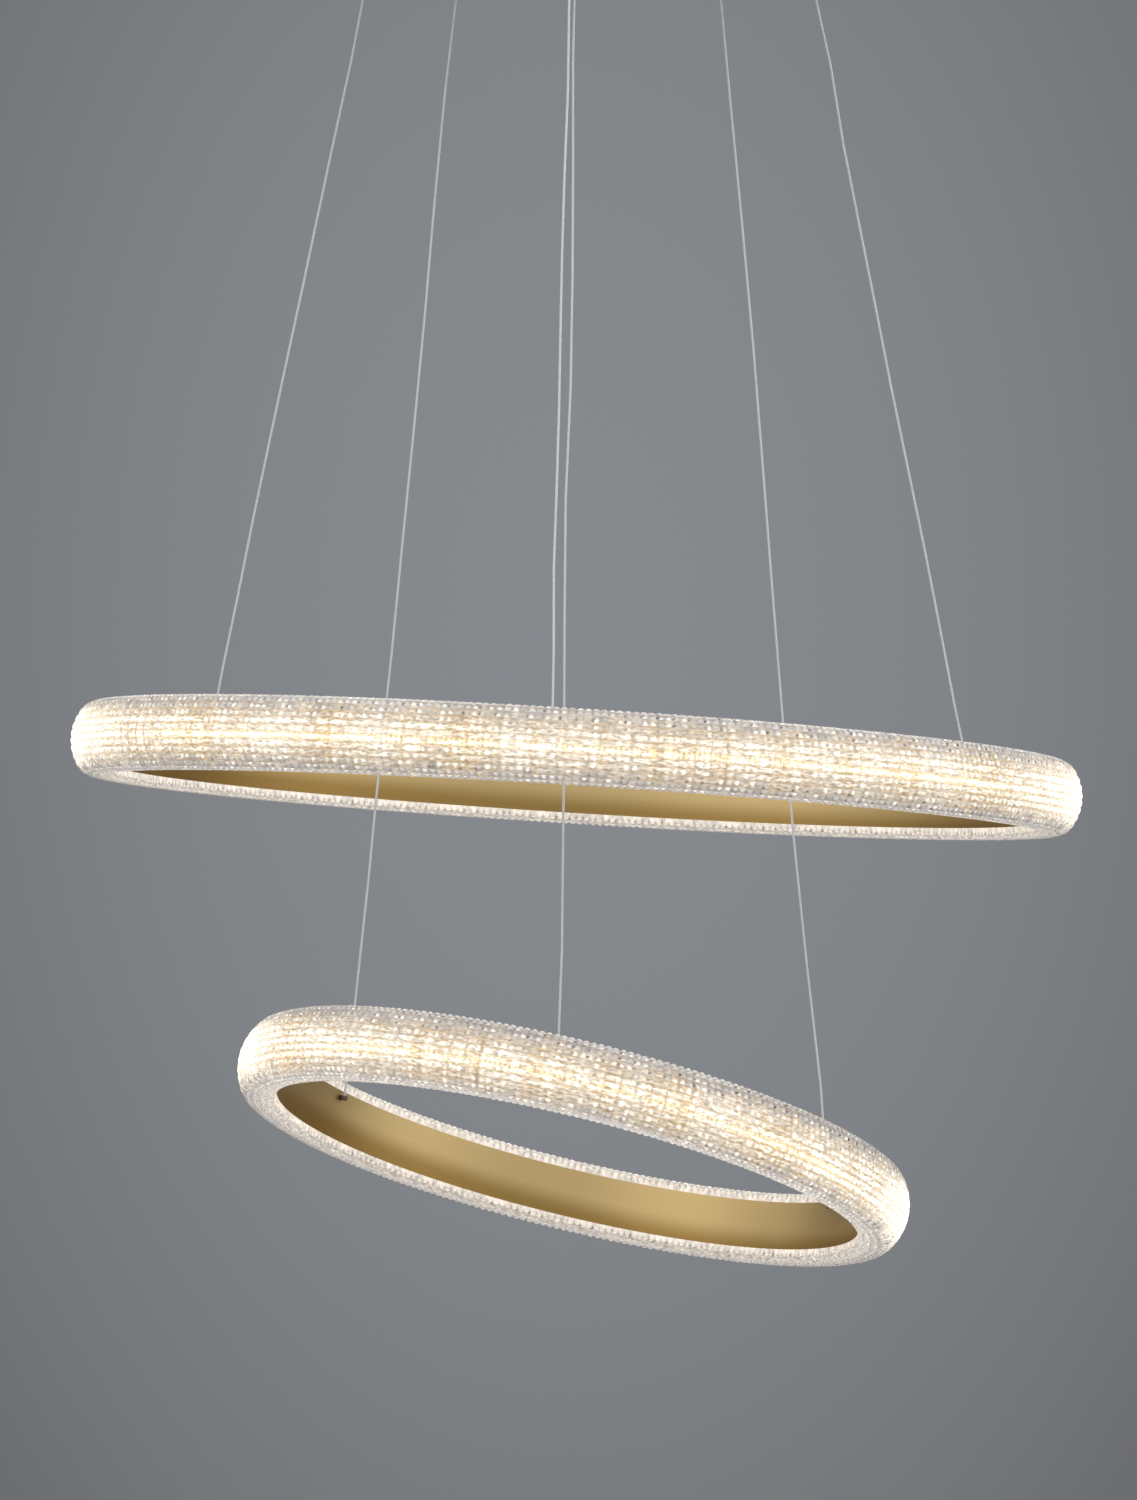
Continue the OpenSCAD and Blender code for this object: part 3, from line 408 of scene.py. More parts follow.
# %% Glints in single beads
def glint_spot(tree, at):
    """A round spot in the bead's middle, and how far out the point is from that middle."""
    side = add(tree, "ShaderNodeMath", {0: at.column, 1: 0.5}, operation="PINGPONG")
    side = add(tree, "ShaderNodeMath", {0: 0.5, 1: side}, operation="SUBTRACT")
    place = add(tree, "ShaderNodeCombineXYZ", {"X": side, "Y": at.off_middle})
    out = add(tree, "ShaderNodeVectorMath", {0: place}, operation="LENGTH").outputs["Value"]
    spot = add(tree, "ShaderNodeMapRange", {"Value": out, "From Min": 0.38, "From Max": 0.1},
               interpolation_type="SMOOTHSTEP")
    lucky = add(tree, "ShaderNodeMapRange", {"Value": at.bead_luck[0], "From Min": 0.45, "From Max": 1.0})
    reach = add(tree, "ShaderNodeMapRange",
                {"Value": at.near, "From Min": 1.5, "From Max": 7.0, "To Min": 0.9, "To Max": 0.5})
    for factor in (lucky, reach):
        spot = add(tree, "ShaderNodeMath", {0: spot, 1: factor}, operation="MULTIPLY")
    return spot, out


# %% Warm light between the streaks
def light_between(tree, at):
    """Which beads are lit, the ring's white ends, and the strength of the light between the streaks."""
    edge_luck = add(tree, "ShaderNodeMath", {0: at.bead_luck[2], 1: 1.8, 2: at.near}, operation="MULTIPLY_ADD")
    lit = add(tree, "ShaderNodeMapRange", {"Value": edge_luck, "From Min": 6.0, "From Max": 3.2},
              interpolation_type="SMOOTHSTEP")
    amber = add(tree, "ShaderNodeMapRange", {"Value": lit, "To Min": 0.06, "To Max": 0.28})
    amber = add(tree, "ShaderNodeMath", {0: amber, 1: at.grain}, operation="MULTIPLY")

    # At the left and right ends of a ring the strip is seen along its length, so the beads there are almost white.
    ends = add(tree, "ShaderNodeMapRange", {"Value": at.steep, "From Min": 0.62, "From Max": 0.1},
               interpolation_type="SMOOTHSTEP")
    ends = add(tree, "ShaderNodeMath", {0: ends, 1: lit}, operation="MULTIPLY")
    amber = add(tree, "ShaderNodeMath", {0: ends, 1: 0.4, 2: amber}, operation="MULTIPLY_ADD")
    return lit, ends, amber


# %% Painted dark reflections on the clear rows
DARK_REFLECTION_AT = (0.55, 0.7, 0)
DARK_REFLECTION_SQUEEZE = (2, 1, 1)


def painted_dark_reflection(tree, at):
    """One small painted dark reflection of the room, to most pairs of beads outside the lit rows."""
    beside = add(tree, "ShaderNodeMath", {0: at.pair}, operation="FRACT")
    place = add(tree, "ShaderNodeCombineXYZ", {"X": beside, "Y": at.down})
    place = add(tree, "ShaderNodeVectorMath", {0: place, 1: DARK_REFLECTION_AT}, operation="SUBTRACT")
    place = add(tree, "ShaderNodeVectorMath", {0: place, 1: DARK_REFLECTION_SQUEEZE}, operation="MULTIPLY")
    dark_reflection = add(tree, "ShaderNodeVectorMath", {0: place}, operation="LENGTH").outputs["Value"]
    dark_reflection = add(tree, "ShaderNodeMapRange", {"Value": dark_reflection, "From Min": 0.3, "From Max": 0.1},
                interpolation_type="SMOOTHSTEP")
    clear = add(tree, "ShaderNodeMapRange", {"Value": at.near, "From Min": 1.6, "From Max": 4.0})
    for factor in (clear, at.pair_luck[1], at.beaded):
        dark_reflection = add(tree, "ShaderNodeMath", {0: dark_reflection, 1: factor}, operation="MULTIPLY")
    return dark_reflection


# %% [markdown]
# Now the parts come together: white where a bead is lit, amber between, cool and clear outside. The cut edge behind the
# gold band glows too, and some of the light leaves through the lips and warms the beads beside the band. Acrylic has an
# index of refraction of 1.49. Half of the light goes through, because a moulded shell full of small beads scatters the
# rest. Everything that doesn't glow is drawn in the body colour: paler and greyer beads, with a painted shade round
# each bead's outline, painted warm light in the lit beads, and painted dark reflections in the clear rows.

# %% Clear acrylic
LEAK_FROM, LEAK_TO = -8, -22
EDGE_WALL = 0.6


def crystal(name, ring):
    """Clear acrylic, moulded in small beads, with the light of the strip in it."""
    material, tree = new_material(f"clear_beaded_acrylic_{name}")
    at = bead_coordinates(tree, ring)
    add_luck(tree, at)
    streak, glow = streak_and_glow(tree, at)
    spot, out = glint_spot(tree, at)
    lit, ends, amber = light_between(tree, at)
    dark_reflection = painted_dark_reflection(tree, at)

    # The colour of the light.
    white = add(tree, "ShaderNodeMath", {0: streak, 1: spot}, operation="MAXIMUM")
    white = add(tree, "ShaderNodeMath", {0: ends, 1: 0.75, 2: white}, operation="MULTIPLY_ADD", use_clamp=True)
    between = add(tree, "ShaderNodeMix", {"Factor": at.dyed, 6: "#f6ebdd", 7: "#efd8b4"}, data_type="RGBA")
    between = add(tree, "ShaderNodeMix", {"Factor": lit, 6: "#f6ead9", 7: between}, data_type="RGBA")
    light = add(tree, "ShaderNodeMix", {"Factor": white, 6: between, 7: "#fff8ed"}, data_type="RGBA")

    # Its strength: the three lights, less in a dark reflection, and nothing on smooth acrylic but edge and leak.
    strength = add(tree, "ShaderNodeMath", {0: amber, 1: glow}, operation="ADD")
    strength = add(tree, "ShaderNodeMath", {0: strength, 1: spot}, operation="ADD")
    shaded = add(tree, "ShaderNodeMath", {0: dark_reflection, 1: -0.9, 2: 1.0}, operation="MULTIPLY_ADD")
    for factor in (shaded, at.beaded):
        strength = add(tree, "ShaderNodeMath", {0: strength, 1: factor}, operation="MULTIPLY")
    edge = add(tree, "ShaderNodeMath", {0: at.radius, 1: (ring["radius"] + BAND_U + EDGE_WALL) * MM},
               operation="LESS_THAN")
    strength = add(tree, "ShaderNodeMath", {0: edge, 1: 0.25, 2: strength}, operation="MULTIPLY_ADD")
    leak = add(tree, "ShaderNodeMapRange", {"Value": at.radius, "From Min": (ring["radius"] + LEAK_FROM) * MM,
                                            "From Max": (ring["radius"] + LEAK_TO) * MM, "To Max": 0.21})
    glint = add(tree, "ShaderNodeMath", {0: spot, 1: 1.6, 2: at.grain}, operation="MULTIPLY_ADD")
    leak = add(tree, "ShaderNodeMath", {0: leak, 1: glint}, operation="MULTIPLY")
    strength = add(tree, "ShaderNodeMath", {0: strength, 1: leak}, operation="ADD")

    # The body colour: painted shade round each bead, painted warm light in lit beads, painted dark reflections.
    outline = add(tree, "ShaderNodeMapRange", {"Value": out, "From Min": 0.3, "From Max": 0.6, "To Max": 0.7})
    outline = add(tree, "ShaderNodeMath", {0: outline, 1: at.beaded}, operation="MULTIPLY")
    warm = add(tree, "ShaderNodeMix", {"Factor": at.dyed, 6: "#cfc3b0", 7: "#c0a884"}, data_type="RGBA")
    body = add(tree, "ShaderNodeMix", {"Factor": at.bead_luck[1], 6: "#f4f1ef", 7: "#cdc8c5"}, data_type="RGBA")
    for factor, colour in ((outline, "#928d8a"), (lit, warm), (dark_reflection, "#3b3735")):
        body = add(tree, "ShaderNodeMix", {"Factor": factor, 6: body, 7: colour}, data_type="RGBA")
    shader = add(tree, "ShaderNodeBsdfPrincipled",
                 {"Base Color": body, "Roughness": 0.07, "IOR": 1.49, "Transmission Weight": 0.5,
                  "Emission Color": light, "Emission Strength": strength})
    add(tree, "ShaderNodeOutputMaterial", {"Surface": shader})
    return material


# %% [markdown]
# The light strip is a white lacquered tape with small yellow chips, stuck on the back of the band. It is a CAD piece
# with both in one mesh, so its material tells the chips by their distance from the ring's axis.

# %% Light strip
STRIP_U = BAND_U + CHANNEL_WALL + 0.5
CHIP_STANDS_OUT = 0.2


def strip(name, ring):
    """White lacquered tape with chips, which glow warm white through their yellow phosphor."""
    material, tree = new_material(f"white_tape_with_warm_chips_{name}")
    radius = polar(tree, ring)[0]
    chip = add(tree, "ShaderNodeMath", {0: radius, 1: (ring["radius"] + STRIP_U + CHIP_STANDS_OUT) * MM},
               operation="GREATER_THAN")
    colour = add(tree, "ShaderNodeMix", {"Factor": chip, 6: "#f2efe8", 7: "#f3dd9a"}, data_type="RGBA")
    light = add(tree, "ShaderNodeMix", {"Factor": chip, 6: "#ffe2b0", 7: "#ffd990"}, data_type="RGBA")
    # The tape glows faintly too: painted light standing in for the chips' light spread over it.
    strength = add(tree, "ShaderNodeMath", {0: chip, 1: 5.0, 2: 0.5}, operation="MULTIPLY_ADD")
    shader = add(tree, "ShaderNodeBsdfPrincipled",
                 {"Base Color": colour, "Roughness": 0.45, "Emission Color": light, "Emission Strength": strength})
    add(tree, "ShaderNodeOutputMaterial", {"Surface": shader})
    return material


for name, ring in RINGS.items():
    ring["gold"] = gold_channel(name, ring)
    ring["crystal"] = crystal(name, ring)
    ring["strip"] = strip(name, ring)
    print(name, "acrylic has", len(ring["crystal"].node_tree.nodes), "nodes")

# %% [markdown]
# ## Cables
#
# Each ring hangs on three thin cables that are also its wires, so each has a bright tinned core in a clear sheath. They
# are pulled tight by the ring, and yet they aren't dead straight: a thin cable keeps a trace of the reel it came off.
# The route is a straight line from the canopy to the stud, plus a small sideways wander that is repeated from the CAD
# model's list. Geometry Nodes sweep a circle along it for the sheath. The core is a three-lobed outline swept along the
# same line and twisted, which gives three strands laid round each other.

# %% Cable sizes
CABLE_D = 1.4
CORE_D = 0.8
CORE_LAY = 9
CABLE_START = 0.6
CABLE_END = 1.5
STRAIGHT_FROM = 0.985
WANDER = {
    "upper": {
        "front": (0, 0.2, 0.6, -0.2, -0.6, -0.5, -0.3, -0.6, -1.2, -0.2, 0),
        "right": (0, 1.2, -0.6, -0.6, -0.6, -0.8, -0.4, 0, -0.2, -0.6, 0),
        "left": (0, 0.8, 0.3, 0, -0.2, -0.6, -0.9, -1, -0.6, -0.6, 0),
    },
    "lower": {
        "front": (0, -0.6, 0.4, 1.1, 1, -0.8, -0.4, 0.4, 0.8, 1.2, 0),
        "right": (0, 0.2, 0.7, 0.8, 0, -0.9, -1.6, -1.4, -0.4, 1.4, 0),
        "left": (0, -1.2, -0.8, 0.3, 0.7, 0.8, 1.1, 0.6, 1, 0.6, 0),
    },
}
print("a cable is", CABLE_D, "mm over its sheath, and its strands turn once in", CORE_LAY, "mm")


# %% Cable routes
def on_ring(ring, u, z, side):
    """A point of a ring in metres, from its place across the section, its height, and the cable's side."""
    angle = math.radians(CABLE_ANGLES[side] + ring["turn"])
    r = ring["radius"] + u
    return placed(ring) @ (Vector((r * math.cos(angle), r * math.sin(angle), z)) * MM)


def route(name, side):
    """The cable's points in metres. All three cables of a ring point at one spot on the plumb line above it."""
    ring = RINGS[name]
    hangers = {s: on_ring(ring, CABLE_U, STUD_Z, s) for s in CABLE_ANGLES}
    mean_z = sum(h.z for h in hangers.values()) / 3
    exit_z = EXIT_Z * MM
    rise = (exit_z - mean_z) * ring["exit_r"] / (ring["radius"] + CABLE_U - ring["exit_r"])
    meeting = Vector((0, 0, exit_z + rise))
    hanger = hangers[side]
    way_out = meeting + (hanger - meeting) * (meeting.z - exit_z) / (meeting.z - hanger.z)
    way = (hanger - way_out).normalized()
    a = way_out - CABLE_START * MM * way
    b = hanger + CABLE_END * MM * way
    wander = WANDER[name][side]
    steps = len(wander) - 1
    points = [a + (b - a) * j / steps + Vector((wander[j] * MM, 0, 0)) for j in range(steps)]
    return way_out, points + [a + (b - a) * STRAIGHT_FROM, b]


def length_of(points):
    """The length of the line through the points."""
    return sum((q - p).length for p, q in zip(points, points[1:]))


for name in RINGS:
    for side in CABLE_ANGLES:
        print(name, side, "cable", round(length_of(route(name, side)[1]) * 1000, 1), "mm")

# %% [markdown]
# A tree for Geometry Nodes is built once and used by many objects. Its named inputs are sockets of the modifier, and a
# value goes in by the socket's identifier. `baked` then keeps the result as a plain mesh.

# %% Geometry Nodes helpers
def new_tree(name, inputs):
    """A Geometry Nodes tree with a geometry input and output, and named inputs of the given kinds."""
    tree = bpy.data.node_groups.new(name, "GeometryNodeTree")
    tree.interface.new_socket("Geometry", in_out="INPUT", socket_type="NodeSocketGeometry")
    for key, kind in inputs.items():
        tree.interface.new_socket(key, in_out="INPUT", socket_type="NodeSocket" + kind)
    tree.interface.new_socket("Geometry", in_out="OUTPUT", socket_type="NodeSocketGeometry")
    return tree, add(tree, "NodeGroupInput").outputs


def end_tree(tree, geometry, material):
    """Ends a tree with plain geometry of one material."""
    real = add(tree, "GeometryNodeRealizeInstances", {0: geometry})
    dressed = add(tree, "GeometryNodeSetMaterial", {"Geometry": real, "Material": material})
    add(tree, "NodeGroupOutput", {0: dressed})


def baked(source, tree, name, values, matrix=None):
    """Runs a tree on an object and keeps the result as a new plain mesh object, placed by the matrix."""
    modifier = source.modifiers.new("build", "NODES")
    modifier.node_group = tree
    sockets = {s.name: s.identifier for s in tree.interface.items_tree if s.in_out == "INPUT"}
    for key, value in values.items():
        modifier[sockets[key]] = value
    graph = bpy.context.evaluated_depsgraph_get()
    mesh = bpy.data.meshes.new_from_object(source.evaluated_get(graph))
    mesh.name = name
    if matrix is not None:
        mesh.transform(matrix)
    piece = bpy.data.objects.new(name, mesh)
    bpy.context.scene.collection.objects.link(piece)
    bpy.data.objects.remove(source)
    print(name, len(mesh.polygons), "faces")
    return piece


# %% Cable trees
STRANDS = 3
VALLEY = 0.28

sheath_tree, given = new_tree("sheath", {"Diameter": "Float", "Sides": "Int", "Material": "Material"})
radius = add(sheath_tree, "ShaderNodeMath", {0: given["Diameter"], 1: 0.5}, operation="MULTIPLY")
outline = add(sheath_tree, "GeometryNodeCurvePrimitiveCircle", {"Resolution": given["Sides"], "Radius": radius})
line = add(sheath_tree, "GeometryNodeMeshToCurve", {"Mesh": given["Geometry"]})
tube = add(sheath_tree, "GeometryNodeCurveToMesh", {"Curve": line, "Profile Curve": outline, "Fill Caps": True})
end_tree(sheath_tree, tube, given["Material"])

core_tree, given = new_tree("core", {"Diameter": "Float", "Lay": "Float", "Step": "Float", "Material": "Material"})
line = add(core_tree, "GeometryNodeMeshToCurve", {"Mesh": given["Geometry"]})
line = add(core_tree, "GeometryNodeResampleCurve", {"Curve": line, "Length": given["Step"]}, mode="LENGTH")
along = add(core_tree, "GeometryNodeSplineParameter").outputs["Length"]
turns = add(core_tree, "ShaderNodeMath", {0: along, 1: given["Lay"]}, operation="DIVIDE")
twist = add(core_tree, "ShaderNodeMath", {0: turns, 1: 2 * math.pi}, operation="MULTIPLY")
line = add(core_tree, "GeometryNodeSetCurveTilt", {"Curve": line, "Tilt": twist})
inner = add(core_tree, "ShaderNodeMath", {0: given["Diameter"], 1: VALLEY}, operation="MULTIPLY")
outer = add(core_tree, "ShaderNodeMath", {0: given["Diameter"], 1: 0.5}, operation="MULTIPLY")
lobes = add(core_tree, "GeometryNodeCurveStar", {"Points": STRANDS, "Inner Radius": inner, "Outer Radius": outer})
core = add(core_tree, "GeometryNodeCurveToMesh", {"Curve": line, "Profile Curve": lobes, "Fill Caps": True})
end_tree(core_tree, core, given["Material"])
print("sheath and core trees:", len(sheath_tree.nodes), "and", len(core_tree.nodes), "nodes")

# %% Cables
CORE_STEP = 1.5
SHEATH_SIDES = 16


def polyline(name, points):
    """An open line of edges through the points, for a tree to sweep along."""
    return link_mesh(name, points, [], [(i, i + 1) for i in range(len(points) - 1)])


for name in RINGS:
    for side in CABLE_ANGLES:
        cable = f"{name}_{side}_cable"
        way_out, points = route(name, side)
        core = baked(polyline("line", points), core_tree, cable + "_core",
                     {"Diameter": CORE_D * MM, "Lay": CORE_LAY * MM, "Step": CORE_STEP * MM, "Material": TINNED})
        sheath = baked(polyline("line", points), sheath_tree, cable + "_sheath",
                       {"Diameter": CABLE_D * MM, "Sides": SHEATH_SIDES, "Material": SHEATH})
        for part in (core, sheath):
            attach(part, cable)
        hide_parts(cable)

# %% [markdown]
# ## Beaded diffusers
#
# The diffuser is one moulding of clear acrylic: a thin wall bent round in the shape of a D, with a smooth lip above and
# below the gold band and small square beads everywhere else. Thousands of beads could be copied onto a smooth shell,
# but then each would be a shape of its own, and light would stop at the wall between bead and shell. Here the beads are
# the shell's own surface. The section is drawn once, with three steps for each row of beads, and swept round a circle
# with three steps for each column. A point where two rows or two columns meet is then pushed in. What is left standing
# is a grid of little flat-topped beads with bevelled sides, and each facet catches its own light.

# %% Section of the diffuser
SHOULDER_Z = SECTION_H / 2 - SHOULDER_R
BELLY_ANGLE = math.asin(SHOULDER_Z / (BELLY_R - SHOULDER_R))
SHOULDER_U = -BELLY_R + (BELLY_R - SHOULDER_R) * math.cos(BELLY_ANGLE)
FLAT_U = BAND_U + LIP_CORNER_R
FLAT_L = SHOULDER_U - FLAT_U
SHOULDER_L = SHOULDER_R * (math.pi / 2 - BELLY_ANGLE)
RIM_L = 2 * (FLAT_L + SHOULDER_L + BELLY_R * BELLY_ANGLE)
STEPS = 3
CORNER_ARC = (180, 100)
CORNER_STEPS = 4
INNER_STEPS = (4, 2)
INNER_BELLY_SHARE = 0.66


def arc(u, z, r, start, end, n):
    """Points of an arc of n steps round (u, z), between two angles in degrees."""
    angles = [math.radians(start + (end - start) * i / n) for i in range(n + 1)]
    return [(u + r * math.cos(a), z + r * math.sin(a)) for a in angles]


def rim(s):
    """The point at the length s along the beaded side, from the top lip round the belly to the bottom lip."""
    if s > RIM_L / 2:
        u, z = rim(RIM_L - s)
        return u, -z
    if s < FLAT_L:
        return FLAT_U + s, SECTION_H / 2
    if s < FLAT_L + SHOULDER_L:
        a = math.pi / 2 - (s - FLAT_L) / SHOULDER_R
        return SHOULDER_U + SHOULDER_R * math.cos(a), SHOULDER_Z + SHOULDER_R * math.sin(a)
    a = BELLY_ANGLE - (s - FLAT_L - SHOULDER_L) / BELLY_R
    return -BELLY_R + BELLY_R * math.cos(a), BELLY_R * math.sin(a)


def section():
    """The closed section as (u, z, bead, row) points.

    Bead is 0 on smooth acrylic, 1 on a bead and 1.5 between rows. Row counts from the top, with the lips as rows of
    their own before the first and after the last, and is past them all inside the shell.
    """
    inset = BEAD_DEPTH + DIFFUSER_WALL
    lip_u = BAND_U + LIP_WALL
    corner = arc(FLAT_U, SECTION_H / 2 - BEAD_DEPTH - LIP_CORNER_R, LIP_CORNER_R, *CORNER_ARC, CORNER_STEPS)
    rows = [(i + 0.5) / len(corner) - 1 for i in range(len(corner))]
    top = [(BAND_U, LIP_Z, 0, -1)] + [(u, z, 1, row) for (u, z), row in zip(corner, rows)]
    beads = []
    for i in range(STEPS * BEAD_ROWS + 1):
        beads.append((*rim(RIM_L * i / (STEPS * BEAD_ROWS)), 1.5 if i % STEPS == 0 else 1, i / STEPS))
    bottom = [(u, -z, bead, BEAD_ROWS - row) for u, z, bead, row in reversed(top)]
    half = [(lip_u, -LIP_Z), (lip_u, -SECTION_H / 2 + inset)]
    turn = -math.degrees(BELLY_ANGLE)
    half += arc(SHOULDER_U, -SHOULDER_Z, SHOULDER_R - inset, -90, turn, INNER_STEPS[0])
    half += arc(-BELLY_R, 0, BELLY_R - inset, turn * INNER_BELLY_SHARE, 0, INNER_STEPS[1])
    inside = [(u, z, 0, BEAD_ROWS + 2) for u, z in half + [(u, -z) for u, z in reversed(half[:-1])]]
    return top + beads + bottom + inside


print(len(section()), "points in the section, rows", round(RIM_L / BEAD_ROWS, 2), "mm apart")

# %% Tree that sweeps the section round the ring
diffuser_tree, given = new_tree("beaded_diffuser", {
    "Ring Radius": "Float", "Columns": "Int", "Steps": "Int", "Bead Depth": "Float", "Unevenness": "Float",
    "Seed": "Int", "Material": "Material"})
count = add(diffuser_tree, "ShaderNodeMath", {0: given["Columns"], 1: given["Steps"]}, operation="MULTIPLY")
circle = add(diffuser_tree, "GeometryNodeCurvePrimitiveCircle",
             {"Resolution": count, "Radius": given["Ring Radius"]})
index = add(diffuser_tree, "GeometryNodeInputIndex")
step = add(diffuser_tree, "ShaderNodeMath", {0: index, 1: given["Steps"]}, operation="MODULO")
between = add(diffuser_tree, "FunctionNodeCompare", {0: step, 1: 0.5}, operation="LESS_THAN")
circle = add(diffuser_tree, "GeometryNodeStoreNamedAttribute",
             {"Geometry": circle, "Name": "between_columns", "Value": between}, data_type="FLOAT", domain="POINT")
outline = add(diffuser_tree, "GeometryNodeMeshToCurve", {"Mesh": given["Geometry"]})
shell = add(diffuser_tree, "GeometryNodeCurveToMesh", {"Curve": circle, "Profile Curve": outline})
print("swept with", STEPS, "steps to a bead")

# %% Rest of the tree: the grid of beads is pressed
column = add(diffuser_tree, "GeometryNodeInputNamedAttribute", {"Name": "between_columns"}, data_type="FLOAT")
row = add(diffuser_tree, "GeometryNodeInputNamedAttribute", {"Name": "bead"}, data_type="FLOAT")
beaded = add(diffuser_tree, "FunctionNodeCompare", {0: row, 1: 0.5}, operation="GREATER_THAN")
between_rows = add(diffuser_tree, "ShaderNodeMath", {0: row, 1: 1.0}, operation="SUBTRACT")
pressed = add(diffuser_tree, "ShaderNodeMath", {0: column, 1: between_rows}, operation="MAXIMUM")
uneven = add(diffuser_tree, "FunctionNodeRandomValue", {2: 0.0, 3: given["Unevenness"], "Seed": given["Seed"]},
             data_type="FLOAT").outputs[1]
depth = add(diffuser_tree, "ShaderNodeMath", {0: pressed, 1: given["Bead Depth"], 2: uneven},
            operation="MULTIPLY_ADD")
inwards = add(diffuser_tree, "ShaderNodeMath", {0: depth, 1: -1.0}, operation="MULTIPLY")
normal = add(diffuser_tree, "GeometryNodeInputNormal").outputs["Normal"]
push = add(diffuser_tree, "ShaderNodeVectorMath", {0: normal, "Scale": inwards}, operation="SCALE")
shell = add(diffuser_tree, "GeometryNodeSetPosition", {"Geometry": shell, "Selection": beaded, "Offset": push})
shell = add(diffuser_tree, "GeometryNodeSetShadeSmooth", {"Geometry": shell, "Shade Smooth": True})
end_tree(diffuser_tree, shell, given["Material"])
print("diffuser tree:", len(diffuser_tree.nodes), "nodes")

# %% Diffusers
UNEVENNESS = 0.25


def section_object():
    """The section as a closed loop of edges, which carries bead and row as attributes of its points."""
    points = section()
    n = len(points)
    # The sweep turns the section over, so it is laid down upside down.
    source = link_mesh("section", [Vector((p[0], -p[1], 0)) * MM for p in points], [],
                       [(i, (i + 1) % n) for i in range(n)])
    for key, k in (("bead", 2), ("row", 3)):
        source.data.attributes.new(key, "FLOAT", "POINT").data.foreach_set("value", [float(p[k]) for p in points])
    return source


for seed, (name, ring) in enumerate(RINGS.items()):
    diffuser = baked(section_object(), diffuser_tree, f"{name}_beaded_diffuser",
                     {"Ring Radius": ring["radius"] * MM, "Columns": ring["columns"], "Steps": STEPS,
                      "Bead Depth": BEAD_DEPTH * MM, "Unevenness": UNEVENNESS * MM, "Seed": seed,
                      "Material": ring["crystal"]}, placed(ring))
    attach(diffuser, f"{name}_ring")
    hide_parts(f"{name}_diffuser")
    lo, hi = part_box(f"{name}_diffuser")
    got = [v.co for v in diffuser.data.vertices]
    print(name, "CAD box", [round(x * 1000, 1) for x in (*lo, *hi)])
    print(name, "piece  ", [round(f(v[k] for v in got) * 1000, 1) for f in (min, max) for k in range(3)])

# %% [markdown]
# ## Finishes of the CAD pieces
#
# Everything else is shown with the mesh that the CAD model gives it, down to the fittings in the canopy. A piece only
# gets its material here, by its name. The list is checked at the end, so that no piece keeps its CAD colour.

# %% Finishes of the CAD nodes
FINISH = {
    "ceiling_bracket": ZINC, "inlet_grommet": RUBBER, "canopy_pan": ENAMEL, "canopy_screws": BRASS,
    "driver_case": WHITE_PLASTIC, "driver_end_caps": GREY_PLASTIC, "driver_nuts": ZINC, "cable_block": BLOCK_NYLON,
    "mains_block": BLOCK_NYLON, "earth_nut": ZINC, "cable_tails": SHEATH, "output_leads": RED_LEAD,
    "mains_leads": BROWN_LEAD, "grip_lock_nuts": BRASS,
}
for name, ring in RINGS.items():
    for side in CABLE_ANGLES:
        FINISH[f"{name}_{side}_grip"] = BRASS
        FINISH[f"{name}_{side}_plunger"] = BRASS
    FINISH[f"{name}_channel"] = ring["gold"]
    FINISH[f"{name}_light_strip"] = ring["strip"]
    FINISH[f"{name}_bushes"] = BLACK_NYLON
    FINISH[f"{name}_studs"] = BRONZE
    FINISH[f"{name}_feed_wires"] = TINNED
for node, material in FINISH.items():
    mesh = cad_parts[node].data
    mesh.materials.clear()
    mesh.materials.append(material)
print("no finish:", sorted(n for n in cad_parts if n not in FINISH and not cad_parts[n].hide_render))

# %% [markdown]
# ## Light and background
#
# The photograph has a plain grey studio background, a little lighter in the middle. The world gives that grey wall to
# the camera, and to reflections and light that goes through the acrylic. Behind the camera the same room turns pale,
# as a studio does, which the satin metal and the beads reflect. Diffuse light comes from a plain pale world instead.
# The two are told apart by the kind of ray.

# %% Wall of the studio
WALL_LIGHTEST = (0.0, 0.0, 0.028)
WALL_STRETCH = (1.0, 0.0, 0.63)
WALL_REACH = 0.0113
TO_PALE_SIDE = (0.0, -0.8, 0.5)

world = bpy.data.worlds.new("studio")
bpy.context.scene.world = world
world.use_nodes = True
tree = world.node_tree
tree.nodes.clear()
way = add(tree, "ShaderNodeTexCoord").outputs["Generated"]
# The wall is lightest a little above the camera's height, and darkens faster to the sides than up and down.
off = add(tree, "ShaderNodeVectorMath", {0: way, 1: WALL_LIGHTEST}, operation="SUBTRACT")
off = add(tree, "ShaderNodeVectorMath", {0: off, 1: WALL_STRETCH}, operation="MULTIPLY")
off = add(tree, "ShaderNodeVectorMath", {0: off, 1: off}, operation="DOT_PRODUCT")
outer = add(tree, "ShaderNodeMapRange", {"Value": off, "From Min": 0.0, "From Max": WALL_REACH})
wall = add(tree, "ShaderNodeMix", {"Factor": outer, 6: "#868a8e", 7: "#6d6e71"}, data_type="RGBA")
front = add(tree, "ShaderNodeVectorMath", {0: way, 1: TO_PALE_SIDE}, operation="DOT_PRODUCT")
front = add(tree, "ShaderNodeMapRange", {"Value": front, "From Min": -0.38, "From Max": 0.1},
            interpolation_type="SMOOTHSTEP")
room = add(tree, "ShaderNodeMix", {"Factor": front, 6: wall, 7: "#f6f8fb"}, data_type="RGBA")
print("wall from", [round(c, 2) for c in linear("#868a8e")[:3]], "to", [round(c, 2) for c in linear("#6d6e71")[:3]])

# %% World
AMBIENT_STRENGTH = 0.85

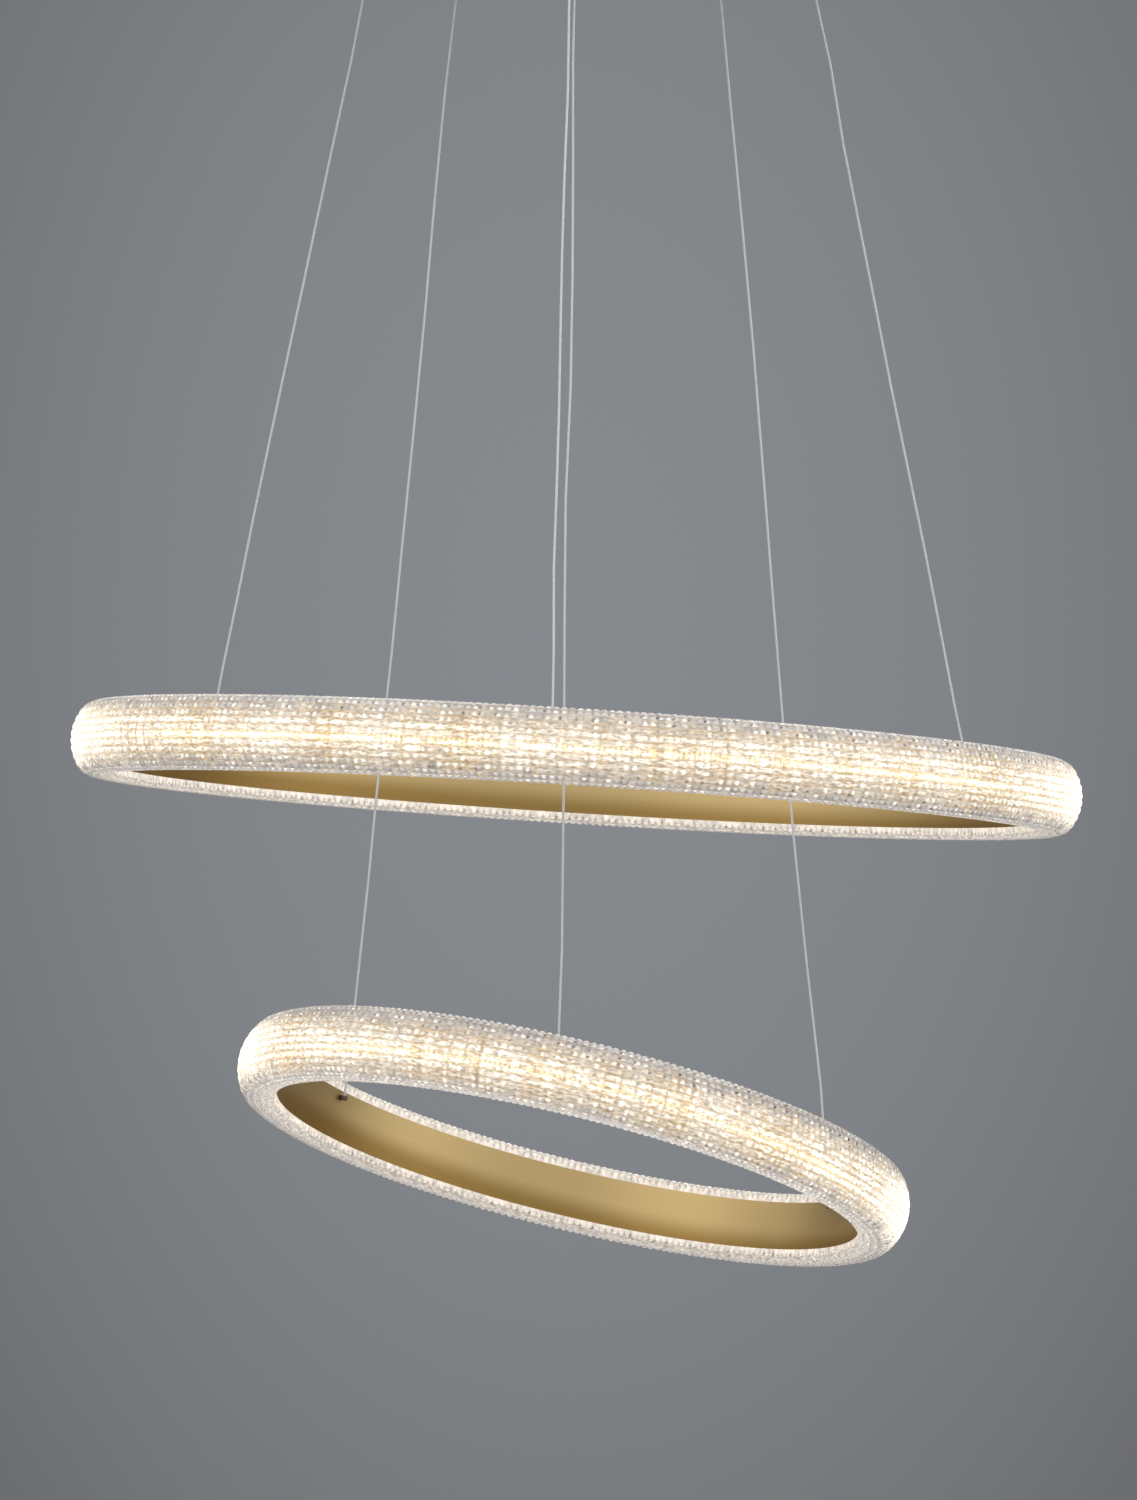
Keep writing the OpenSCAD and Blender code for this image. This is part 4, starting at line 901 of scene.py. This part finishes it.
rays = add(tree, "ShaderNodeLightPath").outputs
direct = add(tree, "ShaderNodeMath", {0: rays["Is Camera Ray"], 1: rays["Is Transmission Ray"]}, operation="MAXIMUM")
seen = add(tree, "ShaderNodeMath", {0: direct, 1: rays["Is Glossy Ray"]}, operation="MAXIMUM")
backdrop = add(tree, "ShaderNodeBackground", {"Color": room, "Strength": 1.0})
ambient = add(tree, "ShaderNodeBackground", {"Color": "#e8e9ea", "Strength": AMBIENT_STRENGTH})
sky = add(tree, "ShaderNodeMixShader", {0: seen, 1: ambient, 2: backdrop})
add(tree, "ShaderNodeOutputWorld", {"Surface": sky})
print("world of", len(tree.nodes), "nodes")

# %% [markdown]
# Large soft boxes stand far from the object, so that no shadow has a hard edge. The left and right ones give the satin
# band its two soft highlights, and the other two lift the top and the back. Their power only tops up the world's
# light, so a matt grey card in front of the rings shows close to its own colour.

# %% Lamps
MIDDLE = (0, 0, -0.55)
SOFT_BOXES = {
    "left_lamp": {"place": (-3.7, -3.5, 1.9), "size": (5.0, 3.0), "watts": 42},
    "right_lamp": {"place": (4.8, -1.0, 1.9), "size": (2.6, 2.6), "watts": 70},
    "top_lamp": {"place": (0, 0.3, 2.4), "size": (3.0, 3.0), "watts": 30},
    "back_lamp": {"place": (0.4, 4.0, 1.6), "size": (5.0, 2.0), "watts": 30},
}
for name, box in SOFT_BOXES.items():
    light = bpy.data.lights.new(name, "AREA")
    light.shape = "RECTANGLE"
    light.size, light.size_y = box["size"]
    light.energy = box["watts"]
    lamp = bpy.data.objects.new(name, light)
    lamp.location = box["place"]
    lamp.rotation_mode = "QUATERNION"
    lamp.rotation_quaternion = (Vector(MIDDLE) - Vector(box["place"])).to_track_quat("-Z", "Y")
    lamp.visible_camera = False
    bpy.context.scene.collection.objects.link(lamp)
    print(name, box["watts"], "W")

# %% [markdown]
# The floor is pale, matt and far below the lower ring, out of the photograph's frame. It is solid under the object,
# where it takes the shadow, and fades into the wall further out, so that no view shows its edge.

# %% Floor
FLOOR_Z = -1.35
FLOOR_R = 2.6
FLOOR_SOLID_R = 0.9
FLOOR_SIDES = 96

corners = [2 * math.pi * i / FLOOR_SIDES for i in range(FLOOR_SIDES)]
floor = link_mesh("floor", [(FLOOR_R * math.cos(a), FLOOR_R * math.sin(a), FLOOR_Z) for a in corners],
                  [list(range(FLOOR_SIDES))])
material, tree = new_material("pale_matt_floor")
place = add(tree, "ShaderNodeTexCoord").outputs["Object"]
flat = add(tree, "ShaderNodeVectorMath", {0: place, 1: (1, 1, 0)}, operation="MULTIPLY")
away = add(tree, "ShaderNodeVectorMath", {0: flat}, operation="LENGTH")
solid = add(tree, "ShaderNodeMapRange",
            {"Value": away, "From Min": FLOOR_SOLID_R, "From Max": FLOOR_R, "To Min": 1.0, "To Max": 0.0},
            interpolation_type="SMOOTHSTEP")
shader = add(tree, "ShaderNodeBsdfPrincipled", {"Base Color": "#d3d4d6", "Roughness": 0.8, "Alpha": solid})
add(tree, "ShaderNodeOutputMaterial", {"Surface": shader})
floor.data.materials.append(material)
print("floor", 2 * FLOOR_R, "m across,", round(-FLOOR_Z, 2), "m below the ceiling")
